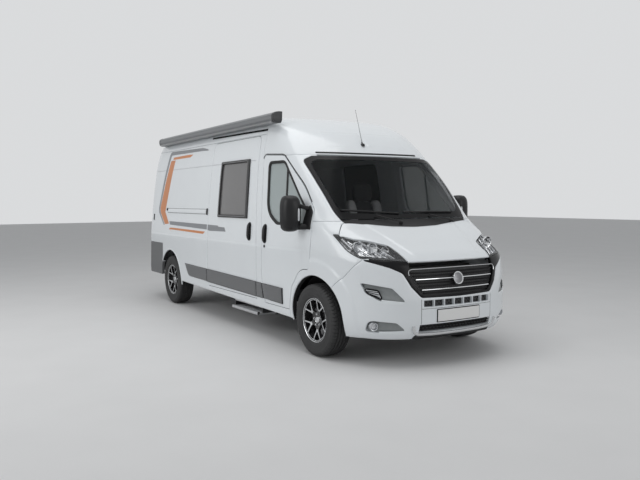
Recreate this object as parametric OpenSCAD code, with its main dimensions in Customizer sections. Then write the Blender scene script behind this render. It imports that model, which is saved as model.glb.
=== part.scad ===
// High-roof camper van on a long-wheelbase panel van, in millimetres.
// X points forward, Y to the left and Z up. The origin lies on the ground under the middle of the van.

/* [Overall] */
// Overall length, bumper to bumper
body_l = 5998; // [5900:1:6100]
// Width over the body sides, without the mirrors
body_w = 2050; // [1990:1:2100]
// Height of the roof skin above the ground
roof_h = 2520; // [2500:1:2600]
// Distance between the axles
wheelbase = 4035; // [3950:1:4080]
// Front bumper to front axle
front_overhang = 948; // [930:1:970]
// Thickness of walls, doors and roof
wall = 50; // [40:1:55]
// Gap round the doors and the bonnet
seam = 6; // [5:0.5:7]

/* [Wheels] */
// Tyre outer radius
tyre_r = 358; // [340:1:362]
// Tyre section width
tyre_w = 225; // [205:1:235]
// Rim radius at the tyre seat
rim_r = 203; // [195:1:210]
// Distance between the front tyres' middles
track_f = 1810; // [1790:1:1820]
// Distance between the rear tyres' middles
track_r = 1790; // [1770:1:1810]
// Number of spoke pairs in a rim
spoke_pairs = 5; // [4:1:7]
// Radius of the wheel spindles
spindle_r = 22; // [18:1:25]
// Radius of the steering pins
kingpin_r = 14; // [10:1:18]
// Radius of the wheel arch openings
arch_r = 415; // [410:1:425]

/* [Underbody] */
// Height of the floor's top above the ground
floor_z = 540; // [520:1:560]
// Thickness of the floor
floor_t = 60; // [40:1:70]
// Depth of the chassis rails
rail_h = 90; // [80:1:95]
// Width of a chassis rail
rail_w = 80; // [60:1:90]
// Distance between the chassis rails' outer faces
rail_span = 1160; // [1130:1:1170]

/* [Cab and doors] */
// Thickness of the windscreen and the door glass
glass_t = 8; // [5:1:10]
// Thickness of a camper window
window_t = 30; // [20:1:40]
// Radius of the door hinge pins
hinge_r = 4; // [3:0.5:5]
// Steering wheel radius
steer_r = 195; // [180:1:205]
// Width of a cab seat
seat_w = 500; // [460:1:540]

/* [Awning and step] */
// Length of the awning case
awning_l = 3750; // [3400:10:3800]
// Height of the awning case
awning_h = 125; // [100:1:140]
// Depth of the awning case
awning_d = 120; // [100:1:140]
// Width of the entry step's tread
step_l = 700; // [500:10:740]
// Depth of the entry step's tread
step_d = 240; // [200:10:260]

/* [Hidden] */
$fn = 48;

half = body_w / 2;
nose_x = body_l / 2;
tail_x = -body_l / 2;
axle_f = nose_x - front_overhang;
axle_r = axle_f - wheelbase;
far = 4000;          // longer than any cut through the body
side_far = half + 500;

// Heights at which the panels split
sill_z = 310;
sill_rear_z = 376;   // the sill rises to this height at the rear wheel
pillar_z = 1330;     // wing below, windscreen pillar above
cab_roof_z = 2010;   // top of the windscreen pillars
roof_rise = roof_h - cab_roof_z;
roof_rise_drawn = 510; // the rise for which the roof's rows are written
roof_seat = 236;     // depth of that seat below the top
roof_z = roof_h - roof_rise * roof_seat / roof_rise_drawn; // roof seat on the side walls
bumper_z = 255;
door_z = 400;        // lower edge of the cab doors
slide_z = 420;       // lower edge of the sliding door

// Body levels. Each row is one plan section of the body:
// height, nose set back, nose handle past the half width, shoulder ahead of the front axle,
// shoulder tucked in, straight side's start ahead of the front axle, side tucked in,
// tail set forward, tail corner radius
LOWER_LEVELS = [
    [ 250,   69, -125,  649,  40, -1051, 40,  34,  90],
    [ 330,   24,  -65,  689,  20, -1051, 20,   9,  90],
    [ 450,    0,  -25,  699,   7, -1051,  7,   4,  90],
    [ 600,    0,  -25,  699,   3, -1051,  1,  27,  90],
    [ 700,   11,  -15,  689,   3, -1051,  1,  27, 100],
    [ 860,   44,   15,  659,   3, -1051,  1,  29, 110],
    [ 960,   79,   45,  629,   5, -1051,  1,  31, 115],
    [1010,  139,   75,  599,   9, -1051,  2,  32, 120],
    [1100,  309,  105,  549,  17, -1051,  7,  34, 120],
    [1180,  459,  125,  489,  27, -1071, 12,  36, 125],
    [1250,  609,  155,  429,  37, -1091, 17,  38, 125],
    [1300,  709,  175,  379,  47, -1121, 22,  39, 130],
    [1363,  769,  175,  299,  57, -1151, 27,  41, 130],
    [1500,  889,  165,  179,  75, -1191, 39,  46, 130],
    [1700, 1059,  145,  -31, 100, -1251, 59,  54, 135],
    [1900, 1234,  125, -311, 120, -1321, 81,  66, 140],
    [2000, 1327,  115, -461, 132, -1361, 95,  74, 145]
];
// The roof's rows start with the depth below the top instead of the height, at the drawn rise
ROOF_LEVELS = [
    [420, 1421,   95,  -591, 149, -1411, 111,  84, 150],
    [320, 1529,   65,  -721, 169, -1461, 129,  96, 160],
    [220, 1664,   25,  -871, 195, -1521, 153, 114, 180],
    [120, 1864,  -35, -1061, 240, -1601, 193, 144, 200],
    [ 70, 2009,  -95, -1201, 290, -1671, 235, 174, 215],
    [ 30, 2209, -185, -1401, 375, -1801, 309, 224, 230],
    [  8, 2439, -325, -1661, 495, -1991, 425, 314, 230],
    [  0, 2699, -525, -1951, 645, -2201, 575, 444, 220]
];
function from_roof(r) = concat([roof_h - r[0] * roof_rise / roof_rise_drawn], [for (k = [1:8]) r[k]]);
LEVELS = concat(LOWER_LEVELS, [for (r = ROOF_LEVELS) from_roof(r)]);

// One level at any height, between its two neighbouring rows
function row_below(z, k = 0) = k >= len(LEVELS) - 2 || LEVELS[k + 1][0] > z ? k : row_below(z, k + 1);
function blend_rows(a, b, z) = a + (b - a) * (z - a[0]) / (b[0] - a[0]);
function level_at(z) = let (k = row_below(z)) blend_rows(LEVELS[k], LEVELS[k + 1], z);
function levels_between(z0, z1) = concat([z0], [for (r = LEVELS) if (r[0] > z0 + 2 && r[0] < z1 - 2) r[0]], [z1]);

// Plan curve of a level: a Bezier nose, a straight side, a round tail corner and the tail
nose_n = 12;          // segments of the nose curve
corner_n = 4;         // segments of the tail corner
ring_n = nose_n + corner_n + 2;
tail_crown = 4;       // how far the tail bulges at its middle
handle_share = 0.6;   // how far the curve's handles follow an inward offset
roof_drop_h = 200;    // the roof's inner skin comes down over this height

function bezier(p, t) = pow(1 - t, 3) * p[0] + 3 * t * pow(1 - t, 2) * p[1]
    + 3 * t * t * (1 - t) * p[2] + pow(t, 3) * p[3];
function nose_handles(r, d) = [
    [nose_x - r[1] - d, 0],
    [nose_x - r[1] - d, half + r[2] - d * handle_share],
    [axle_f + r[3] - d * handle_share, half - r[4] - d],
    [axle_f + r[5], half - r[6] - d]
];
function tail_corner(r, d, k) = let (c = max(r[8] - d, 1), a = 90 * k / corner_n)
    [tail_x + r[7] + d + c - c * sin(a), half - r[6] - d - c + c * cos(a)];
function plan_point(r, d, i) = i <= nose_n ? bezier(nose_handles(r, d), i / nose_n)
    : i < ring_n ? tail_corner(r, d, i - nose_n - 1)
    : [tail_x + r[7] + d - tail_crown, 0];
function drop(z, d) = d * min(1, max(0, (z - roof_h + roof_drop_h + 20) / roof_drop_h));
// Point i of the ring at height z, d inside the skin. Negative i lie on the right side.
function ring_point(i, z, d) = let (p = plan_point(level_at(z), d, abs(i)))
    [p[0], i < 0 ? -p[1] : p[1], z - drop(z, d)];

// Part of the body's skin between two heights and two ring points, from inset d0 to inset d1
module skin(z0, z1, i0, i1, d0 = 0, d1 = wall) {
    zs = levels_between(z0, z1);
    m = len(zs);
    k = i1 - i0 + 1;
    points = [for (d = [d0, d1], z = zs, i = [i0:i1]) ring_point(i, z, d)];
    function at(s, j, i) = s * m * k + j * k + i;
    function quad(a, b, c, d) = [[a, b, c], [a, c, d]];
    outer = [for (j = [0:m - 2], i = [0:k - 2])
        each quad(at(0, j, i), at(0, j + 1, i), at(0, j + 1, i + 1), at(0, j, i + 1))];
    inner = [for (j = [0:m - 2], i = [0:k - 2])
        each quad(at(1, j, i), at(1, j, i + 1), at(1, j + 1, i + 1), at(1, j + 1, i))];
    lower = [for (i = [0:k - 2]) each quad(at(0, 0, i), at(0, 0, i + 1), at(1, 0, i + 1), at(1, 0, i))];
    upper = [for (i = [0:k - 2])
        each quad(at(0, m - 1, i), at(1, m - 1, i), at(1, m - 1, i + 1), at(0, m - 1, i + 1))];
    front = [for (j = [0:m - 2]) each quad(at(0, j, 0), at(1, j, 0), at(1, j + 1, 0), at(0, j + 1, 0))];
    back = [for (j = [0:m - 2])
        each quad(at(0, j, k - 1), at(0, j + 1, k - 1), at(1, j + 1, k - 1), at(1, j, k - 1))];
    polyhedron(points, concat(outer, inner, lower, upper, front, back));
}

// The roof's closed shell above height z0: outer skin with its top, inner skin with its ceiling
module roof_shell(z0) {
    zs = levels_between(z0, roof_h);
    m = len(zs);
    k = 2 * ring_n;
    points = [for (d = [0, wall], z = zs, i = [1 - ring_n:ring_n]) ring_point(i, z, d)];
    function at(s, j, i) = s * m * k + j * k + i % k;
    function quad(a, b, c, d) = [[a, b, c], [a, c, d]];
    outer = [for (j = [0:m - 2], i = [0:k - 1])
        each quad(at(0, j, i), at(0, j + 1, i), at(0, j + 1, i + 1), at(0, j, i + 1))];
    inner = [for (j = [0:m - 2], i = [0:k - 1])
        each quad(at(1, j, i), at(1, j, i + 1), at(1, j + 1, i + 1), at(1, j + 1, i))];
    rim = [for (i = [0:k - 1]) each quad(at(0, 0, i), at(0, 0, i + 1), at(1, 0, i + 1), at(1, 0, i))];
    top = [[for (i = [k - 1:-1:0]) at(0, m - 1, i)]];
    ceiling = [[for (i = [0:k - 1]) at(1, m - 1, i)]];
    polyhedron(points, concat(outer, inner, rim, top, ceiling));
}

// Outline helpers: each outline point is [across, up, corner radius]
corner_steps = 5;
function unit(v) = v / norm(v);
function xy(p) = [p[0], p[1]];
function corner(a, b, c) = b[2] <= 0 ? [xy(b)] : let (
        u = unit(xy(a) - xy(b)),
        v = unit(xy(c) - xy(b)),
        reach = b[2] / tan(acos(u * v) / 2),
        p = xy(b) + u * reach,
        q = xy(b) + v * reach)
    [for (k = [0:corner_steps]) let (t = k / corner_steps)
        pow(1 - t, 2) * p + 2 * t * (1 - t) * xy(b) + t * t * q];
function rounded(o) = let (n = len(o))
    [for (k = [0:n - 1]) each corner(o[(k + n - 1) % n], o[k], o[(k + 1) % n])];
// Prisms through the left half of the body: along Y from [x, z], along X from [y, z]
module across_side(inset = 0) {
    translate([0, side_far, 0]) rotate([90, 0, 0]) linear_extrude(side_far) offset(delta = -inset) children();
}
module through_front(inset = 0) {
    rotate([90, 0, 90]) linear_extrude(far) offset(delta = -inset) children();
}
module through_tail(inset = 0) {
    translate([-far, 0, 0]) rotate([90, 0, 90]) linear_extrude(far) offset(delta = -inset) children();
}
module mirrored() { children(); mirror([0, 1, 0]) children(); }

// Outlines in side view, [x, z, corner radius]
seam_x = axle_f - 1086;      // rear edge of the cab door at the waist
door_top_lean = 100;         // how far that edge leans back at the roof
cab_roof_x = seam_x - door_top_lean - 17; // front end of the side walls above the cab doors
door_front_x = axle_f - 55;  // front edge of the cab door
arch_z = 385;
DOOR = [
    [seam_x + 70, door_z, 30], [seam_x, door_z + 300, 120], [seam_x, 1000, 200],
    [seam_x - door_top_lean, 2045, 60], [axle_f - 720, 2016, 160], [axle_f - 272, 1680, 900],
    [door_front_x - 6, 1440, 60], [door_front_x, 1110, 100], [axle_f - 78, 850, 60],
    [axle_f - 260, 835, 200], [axle_f - 420, 640, 160], [axle_f - 470, door_z, 30]
];
DOOR_WINDOW = [
    [axle_f - 760, 1290, 120], [axle_f - 985, 1400, 260], [axle_f - 1040, 1950, 50],
    [axle_f - 690, 1945, 120], [axle_f - 330, 1580, 500], [axle_f - 130, 1395, 30], [axle_f - 140, 1290, 25]
];
slide_front_x = seam_x - 130;
slide_rear_x = seam_x - 1550;
SLIDE_DOOR = [
    [slide_rear_x, slide_z, 40], [slide_front_x + 10, slide_z, 30], [slide_front_x, 1000, 200],
    [slide_front_x - 110, roof_z - 10, 80], [slide_rear_x, roof_z - 10, 60]
];
window_rear_x = seam_x - 1210;
window_l = 820;
WINDOW = [
    [window_rear_x, 1335, 60], [window_rear_x + window_l, 1335, 60],
    [window_rear_x + window_l - 40, 2005, 60], [window_rear_x, 2005, 60]
];
BUMPER_SIDE = [
    [axle_f + 200, bumper_z - 50, 0], [axle_f + 200, 640, 0], [axle_f + 314, 745, 0],
    [axle_f + 431, 824, 60], [axle_f + 600, 985, 0], [axle_f + 600, 1060, 0],
    [nose_x + 100, 1060, 0], [nose_x + 100, bumper_z - 50, 0]
];
// Outlines in front view, [y, z, corner radius], for the left half
SCREEN = [
    [-1, 2004, 0], [760, 1996, 60], [862, 1955, 60], [856, 1705, 0], [832, 1409, 300],
    [800, 1335, 120], [720, 1225, 60], [-1, 1150, 0]
];
LAMP = [
    [516, 973, 10], [562, 1140, 60], [700, 1180, 60], [945, 1215, 10], [925, 1060, 120],
    [880, 1000, 60], [713, 990, 40]
];
BAND = [
    [-1, 640, 0], [430, 648, 50], [520, 745, 60], [588, 872, 60], [690, 922, 60], [880, 990, 10],
    [700, 1012, 10], [500, 975, 10], [-1, 968, 0]
];
// Bonnet opening in plan, [x, y, corner radius], for the left half
HOOD = [
    [nose_x + 100, -1, 0], [nose_x + 100, 512, 0], [axle_f + 800, 516, 60], [axle_f + 600, 560, 60],
    [axle_f + 424, 827, 80], [axle_f + 300, 922, 25], [axle_f + 200, 812, 60], [axle_f + 240, 590, 80],
    [axle_f + 300, 283, 80], [axle_f + 321, -1, 0]
];
hood_z = 968;         // front edge of the bonnet

module half_polygon(o) { polygon(rounded(o)); mirror([1, 0]) polygon(rounded(o)); }
module door_cut(inset = 0) { across_side(inset) polygon(rounded(DOOR)); }
module slide_cut(inset = 0) { across_side(inset) polygon(rounded(SLIDE_DOOR)); }
module window_cut(o, inset = 0) { across_side(inset) polygon(rounded(o)); }
module bumper_side_cut() { across_side() polygon(rounded(BUMPER_SIDE)); }
module screen_cut() { through_front() half_polygon(SCREEN); }
module lamp_cut() { through_front() polygon(rounded(LAMP)); }
module band_cut() { through_front() half_polygon(BAND); }
module hood_cut(inset = 0) {
    translate([0, 0, hood_z + inset]) linear_extrude(500) offset(delta = -inset) {
        polygon(rounded(HOOD));
        mirror([0, 1]) polygon(rounded(HOOD));
    }
}
module arch_cut(x) { translate([x, 0, arch_z]) rotate([-90, 0, 0]) cylinder(r = arch_r, h = side_far); }

// Rear door opening in back view, [y, z, corner radius], for the left half
rear_door_half = 800;
rear_door_z = 480;
REAR_DOOR = [
    [0, rear_door_z, 0], [rear_door_half, rear_door_z, 40],
    [rear_door_half, roof_z - 10, 90], [0, roof_z - 10, 0]
];
REAR_WINDOW = [[130, 1330, 60], [690, 1330, 60], [660, 1960, 70], [130, 1960, 60]];
module rear_door_cut(inset = 0) { through_tail(inset) polygon(rounded(REAR_DOOR)); }
bumper_corner_z = 885;
bumper_corner_x = tail_x + 660;

// What lies under the sill line, which rises from the front wheel to the tail
module below_sill() {
    translate([0, side_far, 0]) rotate([90, 0, 0]) linear_extrude(2 * side_far) polygon([
        [axle_f - 300, 0], [axle_f - 340, sill_z], [axle_r + arch_r, sill_rear_z],
        [tail_x - 100, sill_rear_z + 24], [tail_x - 100, 0]]);
}

// Side walls and sliding door
wall_i = nose_n - 1;
module wall_blank() {
    difference() {
        skin(sill_z, roof_z, wall_i, ring_n);
        door_cut();
        rear_door_cut();
        arch_cut(axle_r);
        translate([axle_f - 470, 0, 0]) cube([far, side_far, door_z + 60]);
        translate([cab_roof_x, 0, cab_roof_z]) cube([far, side_far, roof_h]);
        translate([axle_f - 470, 0, door_z]) cube([far, side_far, roof_h]);
        translate([axle_f - 900, 0, pillar_z]) cube([far, side_far, roof_h]);
        rear_bumper_zone();
        below_sill();
        translate([-far, 0, floor_z - floor_t]) cube([2 * far, half - wall, floor_t]);
        rear_lamp_cut();
    }
}
module rear_bumper_zone() {
    translate([-far, 0, 0]) cube([far + bumper_corner_x, side_far, bumper_corner_z]);
}
module rear_lamp_cut() {
    translate([tail_x - 10, rear_door_half + 20, 1020]) cube([10 + wall * 2, 120, 560]);
}
module side_wall_left() {
    color("whitesmoke") {
        difference() {
            wall_blank();
            window_cut(WINDOW);
        }
        rear_hinge_eyes();
    }
}
module side_wall_right() {
    color("whitesmoke") mirror([0, 1, 0]) {
        difference() {
            wall_blank();
            slide_cut();
        }
        rear_hinge_eyes();
    }
}
module sliding_door() {
    color("whitesmoke") mirror([0, 1, 0]) difference() {
        intersection() {
            skin(sill_z, roof_z, wall_i, nose_n + 1);
            slide_cut(seam);
        }
        window_cut(WINDOW);
    }
    // lower roller arm, which carries the door on the sill
    color("dimgray") mirror([0, 1, 0]) translate([slide_front_x - 300, half - wall - 40, floor_z])
        cube([120, 45, 60]);
}
module side_windows() {
    color("dimgray") mirrored() intersection() {
        skin(1250, 2100, wall_i, nose_n + 1, -window_t / 2, window_t / 2);
        window_cut(WINDOW);
    }
}

// Roof with its forehead, the vent and the awning
module roof() {
    color("whitesmoke") difference() {
        roof_shell(cab_roof_z);
        mirrored() {
            translate([-far, -10, 0]) cube([far + cab_roof_x, side_far, roof_z]);
            door_cut();
        }
        vent_block(vent_gap, -2 * wall, 2 * wall);
    }
}
vent_l = 700;
vent_w = 500;
vent_gap = 0.3;       // between the vent's frame and the roof's cut-out
vent_rim = 25;        // width of the frame round the dome
vent_h = 40;
// The vent's outline grown by g, between two heights above the roof
module vent_block(g, z0, z1) {
    translate([-vent_l - g, -vent_w / 2 - g, roof_h + z0]) cube([vent_l + 2 * g, vent_w + 2 * g, z1 - z0]);
}
module roof_vent() {
    color("dimgray") {
        vent_block(0, -wall, 12);
        vent_block(-vent_rim, 0, vent_h);
    }
}
awning_y = 950;
awning_z = roof_h - 140;
awning_gap = 0.3;     // between its brackets and the roof
awning_rear_x = tail_x + 380;
module awning() {
    bracket_n = 3;
    color("slategray") translate([awning_rear_x, -awning_y, awning_z]) rotate([90, 0, 90])
        linear_extrude(awning_l) polygon(rounded([
            [0, 20, 15], [30, 0, 12], [awning_d - 16, 0, 8], [awning_d, 32, 8],
            [awning_d, awning_h, 20], [0, awning_h - 15, 45]]));
    color("dimgray") for (k = [0:bracket_n - 1])
        translate([awning_rear_x + awning_l * (k + 0.5) / bracket_n - 60, 0, 0]) difference() {
            translate([0, -awning_y + awning_d, awning_z + 35]) cube([120, 120, 60]);
            mirror([0, 1, 0]) skin(awning_z - 60, roof_h, nose_n - 4, nose_n + 2, -awning_gap, 400);
        }
}

// Cab: pillars, posts with hinge eyes, wings and the nose
cab_i = 3;
cab_end_i = nose_n + 1;
hood_axis_x = axle_f + 184;
hood_axis_z = 1324;
hood_pin_r = 5;
hood_pin_y = 700;
hood_pin_l = 90;
pin_block_gap = 0.3;  // under the windscreen pillar
module a_pillars() {
    color("whitesmoke") mirrored() difference() {
        skin(pillar_z, cab_roof_z, cab_i, cab_end_i);
        screen_cut();
        door_cut();
        translate([-far, 0, 0]) cube([far + axle_f - 900, side_far, far]);
    }
}
hinge_x = axle_f - 116;
hinge_y = half - 25;
HINGE_Z = [905, 1125];
eye_r = hinge_r + 3;
eye_h = 50;
pin_gap = 0.05;
post_x = axle_f - 40;
post_in = 85;          // how far the post's outer face lies inside the hinge line
module door_posts() {
    color("silver") mirrored() {
        translate([post_x, hinge_y - post_in - 60, box_r + tyre_r]) cube([50, 60, pillar_z - 60 - box_r - tyre_r]);
        for (z = HINGE_Z) difference() {
            union() {
                translate([hinge_x, hinge_y, z - eye_h / 2]) cylinder(r = eye_r, h = eye_h);
                translate([hinge_x - eye_r, hinge_y - post_in, z - eye_h / 2]) cube([eye_r * 2, post_in, eye_h]);
                translate([hinge_x - eye_r, hinge_y - post_in - 20, z - eye_h / 2])
                    cube([post_x - hinge_x + eye_r + 10, 20, eye_h]);
            }
            translate([hinge_x, hinge_y, z - eye_h]) cylinder(r = hinge_r + pin_gap, h = eye_h * 2);
        }
    }
}
module wings() {
    color("whitesmoke") mirrored() {
        difference() {
            skin(sill_z, pillar_z, cab_i, cab_end_i);
            door_cut();
            bumper_side_cut();
            lamp_cut();
            band_cut();
            hood_cut();
            screen_cut();
            arch_cut(axle_f);
            box_cut(axle_f);
            translate([-far, 0, 0]) cube([far + axle_f - 470, side_far, far]);
        }
        // pin that the bonnet turns on, with its block
        translate([hood_axis_x, hood_pin_y, hood_axis_z]) rotate([-90, 0, 0])
            cylinder(r = hood_pin_r, h = hood_pin_l);
        translate([hood_axis_x - 14, hood_pin_y + hood_pin_l - 12, hood_axis_z - 14])
            cube([28, 60, pillar_z - hood_axis_z + 14 - pin_block_gap]);
    }
}
module front_bumper() {
    color("whitesmoke") difference() {
        intersection() {
            skin(bumper_z, 1000, -9, 9);
            mirrored() bumper_side_cut();
        }
        mirrored() {
            lamp_cut();
            arch_cut(axle_f);
            box_cut(axle_f);
            for (k = [0:cell_n / 2]) if (k == 0) cell(-cell_w / 2, cell_w / 2);
                else cell(k * cell_pitch - cell_w / 2, k * cell_pitch + cell_w / 2);
            intersection() {
                skin(bumper_z, 1000, -1, 9, -1, pocket_d);
                union() {
                    through_front() polygon(rounded(DAY_POCKET));
                    through_front() polygon(rounded(FOG_POCKET));
                }
            }
            translate([nose_x - 250, -1, 322]) cube([400, intake_half + 1, 75]);
        }
        band_cut();
        hood_cut();
    }
}
pocket_d = 30;
cell_n = 7;
cell_w = 104;
cell_pitch = 117;
intake_half = 440;
module cell(y0, y1) { translate([nose_x - 300, y0, 563]) cube([400, y1 - y0, 57]); }
DAY_POCKET = [[572, 606, 20], [690, 738, 40], [888, 780, 10], [862, 690, 60], [780, 625, 60]];
FOG_POCKET = [[560, 340, 20], [660, 425, 60], [850, 443, 40], [850, 330, 40]];
bar_n = 5;
module grille() {
    slot_z0 = 690;
    slot_pitch = 38;
    color("black") difference() {
        intersection() {
            skin(600, 1040, -9, 9, 0, 40);
            band_cut();
        }
        mirrored() lamp_cut();
        hood_cut();
        for (k = [0:bar_n - 1]) translate([nose_x - 400, 0, slot_z0 + k * slot_pitch])
            translate([0, -(430 + k * 24), 0]) cube([600, 2 * (430 + k * 24), slot_pitch - 14]);
    }
}
module front_lamps() {
    color("lightgray") mirrored() {
        difference() {
            intersection() {
                skin(950, 1240, 1, 9, 0, wall - 5);
                lamp_cut();
            }
            hood_cut();
        }
        // daytime lamp and fog lamp, each on the floor of its pocket
        intersection() {
            skin(bumper_z, 1000, 1, 9, pocket_d - 18, pocket_d);
            union() {
                through_front() polygon(rounded(DAY_LAMP));
                translate([0, fog_y, fog_z]) rotate([0, 90, 0]) cylinder(r = fog_r, h = far);
            }
        }
    }
}
DAY_LAMP = [[770, 640, 10], [790, 712, 20], [868, 728, 10], [850, 690, 30]];
fog_y = 800;
fog_z = 388;
fog_r = 42;
glass_z = 1345;        // lower edge of the windscreen glass
module windscreen() {
    color("darkslategray") difference() {
        intersection() {
            skin(1240, cab_roof_z, -10, 10, 0, glass_t);
            screen_cut();
        }
        translate([-far, -side_far, 0]) cube([2 * far, 2 * side_far, glass_z]);
    }
}
module cowl_panel() {
    color("black") difference() {
        intersection() {
            skin(1150, glass_z + 40, -8, 8, glass_t + 0.6, glass_t + 14);
            screen_cut();
        }
        hood_cut();
        mirrored() translate([0, hood_pin_y - 20, 0]) cube([far, side_far, far]);
    }
}
hood_rim_t = 12;
hood_rim_w = 25;
module hood() {
    color("whitesmoke") {
        difference() {
            intersection() {
                skin(hood_z, pillar_z + 20, -11, 11, 0, wall);
                hood_cut(seam);
            }
            // the inner frame ends short of the lamps and leaves a thin rim
            intersection() {
                skin(hood_z - 60, pillar_z + 40, -11, 11, hood_rim_t, 2 * wall);
                difference() {
                    hood_cut(-hood_rim_w);
                    hood_cut(seam + hood_rim_w);
                }
                union() {
                    translate([axle_f + 330, -side_far, 0]) cube([far, 2 * side_far, far]);
                    mirrored() translate([axle_f, hood_pin_y + 80, 0]) cube([far, side_far, far]);
                }
            }
        }
        // arms that reach back to the pins
        mirrored() difference() {
            union() {
                translate([hood_axis_x, hood_pin_y + 8, hood_axis_z]) rotate([-90, 0, 0])
                    cylinder(r = hood_pin_r + 5, h = 50);
                translate([hood_axis_x, hood_pin_y + 8, hood_axis_z - 66]) cube([75, 50, 12]);
                translate([hood_axis_x - 10, hood_pin_y + 8, hood_axis_z - 66]) cube([20, 50, 66]);
            }
            translate([hood_axis_x, hood_pin_y, hood_axis_z]) rotate([-90, 0, 0])
                cylinder(r = hood_pin_r + pin_gap, h = 70);
        }
    }
}

// Cab doors with their glass and mirrors, drawn on the left
module cab_door() {
    color("whitesmoke") difference() {
        intersection() {
            skin(sill_z, 2100, cab_i, cab_end_i + 1);
            door_cut(seam);
        }
        window_cut(DOOR_WINDOW);
        for (z = HINGE_Z) translate([hinge_x - 2 * eye_r - seam, hinge_y - 100, z - eye_h / 2 - seam])
            cube([200, 100 + eye_r + 2, eye_h + 2 * seam]);
    }
    color("silver") for (z = HINGE_Z) translate([hinge_x, hinge_y, z - eye_h / 2 - seam - 8])
        cylinder(r = hinge_r, h = eye_h + 2 * seam + 16);
}
module cab_glass() {
    color("darkslategray") intersection() {
        skin(1200, 2050, cab_i, cab_end_i + 1, 6, 6 + glass_t);
        window_cut(DOOR_WINDOW);
    }
}
mirror_x = axle_f - 240;
mirror_y = half + 60;
mirror_reach = 165;
module cab_mirror() {
    color("black") {
        hull() {
            translate([mirror_x - 30, mirror_y, 1275]) cylinder(r = 30, h = 270, $fn = 24);
            translate([mirror_x - 30, mirror_y + mirror_reach - 60, 1260]) cylinder(r = 30, h = 300, $fn = 24);
            translate([mirror_x + 45, mirror_y + 60, 1290]) cylinder(r = 40, h = 240, $fn = 24);
        }
        difference() {
            for (a = MIRROR_ARMS) translate([mirror_x + 20, half - wall, a[1]]) hull() {
                cube([a[0] - mirror_x - 20, 1, a[2]]);
                translate([0, wall + 70, 0]) cube([50, 1, a[2]]);
            }
            skin(sill_z, 2100, cab_i, cab_end_i + 1);
        }
    }
}
// Mirror arms: front end at the door, lower edge, height
MIRROR_ARMS = [[axle_f - 86, 1246, 30], [axle_f - 79, 1345, 30]];
module front_door_left() { cab_door(); }
module front_door_right() { mirror([0, 1, 0]) cab_door(); }
module door_glass_left() { cab_glass(); }
module door_glass_right() { mirror([0, 1, 0]) cab_glass(); }
module mirror_left() { cab_mirror(); }
module mirror_right() { mirror([0, 1, 0]) cab_mirror(); }

// Rear doors, lamps and bumper
rear_axis_x = tail_x + 14;
rear_axis_y = rear_door_half + 6;
module rear_door() {
    color("whitesmoke") difference() {
        intersection() {
            skin(rear_door_z - 20, roof_z, ring_n - 1, ring_n);
            rear_door_cut(seam);
        }
        through_tail() polygon(rounded(REAR_WINDOW));
    }
    // hinge pins with the plates that hold them
    color("silver") for (z = REAR_HINGE_Z) {
        translate([rear_axis_x, rear_axis_y, z - rear_eye_h / 2 - 12]) cylinder(r = hinge_r + 1, h = rear_eye_h + 24);
        for (s = [-rear_eye_h / 2 - 12, rear_eye_h / 2 + 4]) translate([rear_axis_x - hinge_r - 1, rear_axis_y - 60, z + s]) {
            cube([2 * hinge_r + 2, 60, 8]);
            cube([rear_plate_x(z) - rear_axis_x, rear_door_half - seam - rear_axis_y + 60, 8]);
        }
    }
}
REAR_HINGE_Z = [960, 1760];
rear_eye_h = 44;
function rear_plate_x(z) = tail_x + level_at(z)[7] + wall / 2;
module rear_hinge_eyes() {
    for (z = REAR_HINGE_Z) difference() {
        union() {
            translate([rear_axis_x, rear_axis_y, z - rear_eye_h / 2]) cylinder(r = hinge_r + 4, h = rear_eye_h);
            translate([rear_axis_x - hinge_r, rear_axis_y, z - rear_eye_h / 2])
                cube([rear_plate_x(z) - rear_axis_x, 50, rear_eye_h]);
        }
        translate([rear_axis_x, rear_axis_y, z - rear_eye_h]) cylinder(r = hinge_r + 1 + pin_gap, h = 2 * rear_eye_h);
    }
}
module rear_pane() {
    color("dimgray") intersection() {
        skin(1300, 2000, ring_n - 1, ring_n, 4, 4 + glass_t);
        through_tail() polygon(rounded(REAR_WINDOW));
    }
}
module rear_door_left() { rear_door(); }
module rear_door_right() { mirror([0, 1, 0]) rear_door(); }
module rear_glass_left() { rear_pane(); }
module rear_glass_right() { mirror([0, 1, 0]) rear_pane(); }
module rear_lamps() {
    color("firebrick") mirrored() intersection() {
        skin(900, 1700, nose_n + 2, ring_n);
        rear_lamp_cut();
    }
}
module rear_bumper() {
    color("dimgray") mirrored() difference() {
        intersection() {
            skin(sill_z, bumper_corner_z, nose_n, ring_n);
            rear_bumper_zone();
        }
        arch_cut(axle_r);
        below_sill();
        rear_door_cut();
        translate([-far, 0, floor_z - floor_t]) cube([2 * far, half - wall, floor_t]);
    }
}

// Underbody
module floor() {
    color("gray") difference() {
        translate([tail_x + 29 + wall, -half + wall, floor_z - floor_t])
            cube([axle_f - 100 - tail_x - 29 - wall, body_w - 2 * wall, floor_t]);
        mirrored() {
            translate([axle_f - box_r, box_y, 0]) cube([far, side_far, far]);
            translate([axle_r - box_r, box_y, 0]) cube([box_r * 2, side_far, far]);
            translate([seam_x - door_gap, half - wall - door_gap, 0]) cube([far, side_far, far]);
        }
        translate([slide_rear_x - door_gap, -side_far, 0]) cube([far, side_far - half + wall + door_gap, far]);
    }
    // board of the living space
    color("tan") translate([tail_x + 150, 0, floor_z]) difference() {
        translate([0, -board_half, 0]) cube([axle_f - 1260 - tail_x - 150, 2 * board_half, board_t]);
        mirrored() translate([axle_r - box_r - tail_x - 150 - door_gap, box_y - door_gap, -1])
            cube([2 * box_r + 2 * door_gap, side_far, far]);
    }
}
door_gap = 12;        // between the floor's edge and a door
board_t = 12;
board_half = 900;
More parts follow.
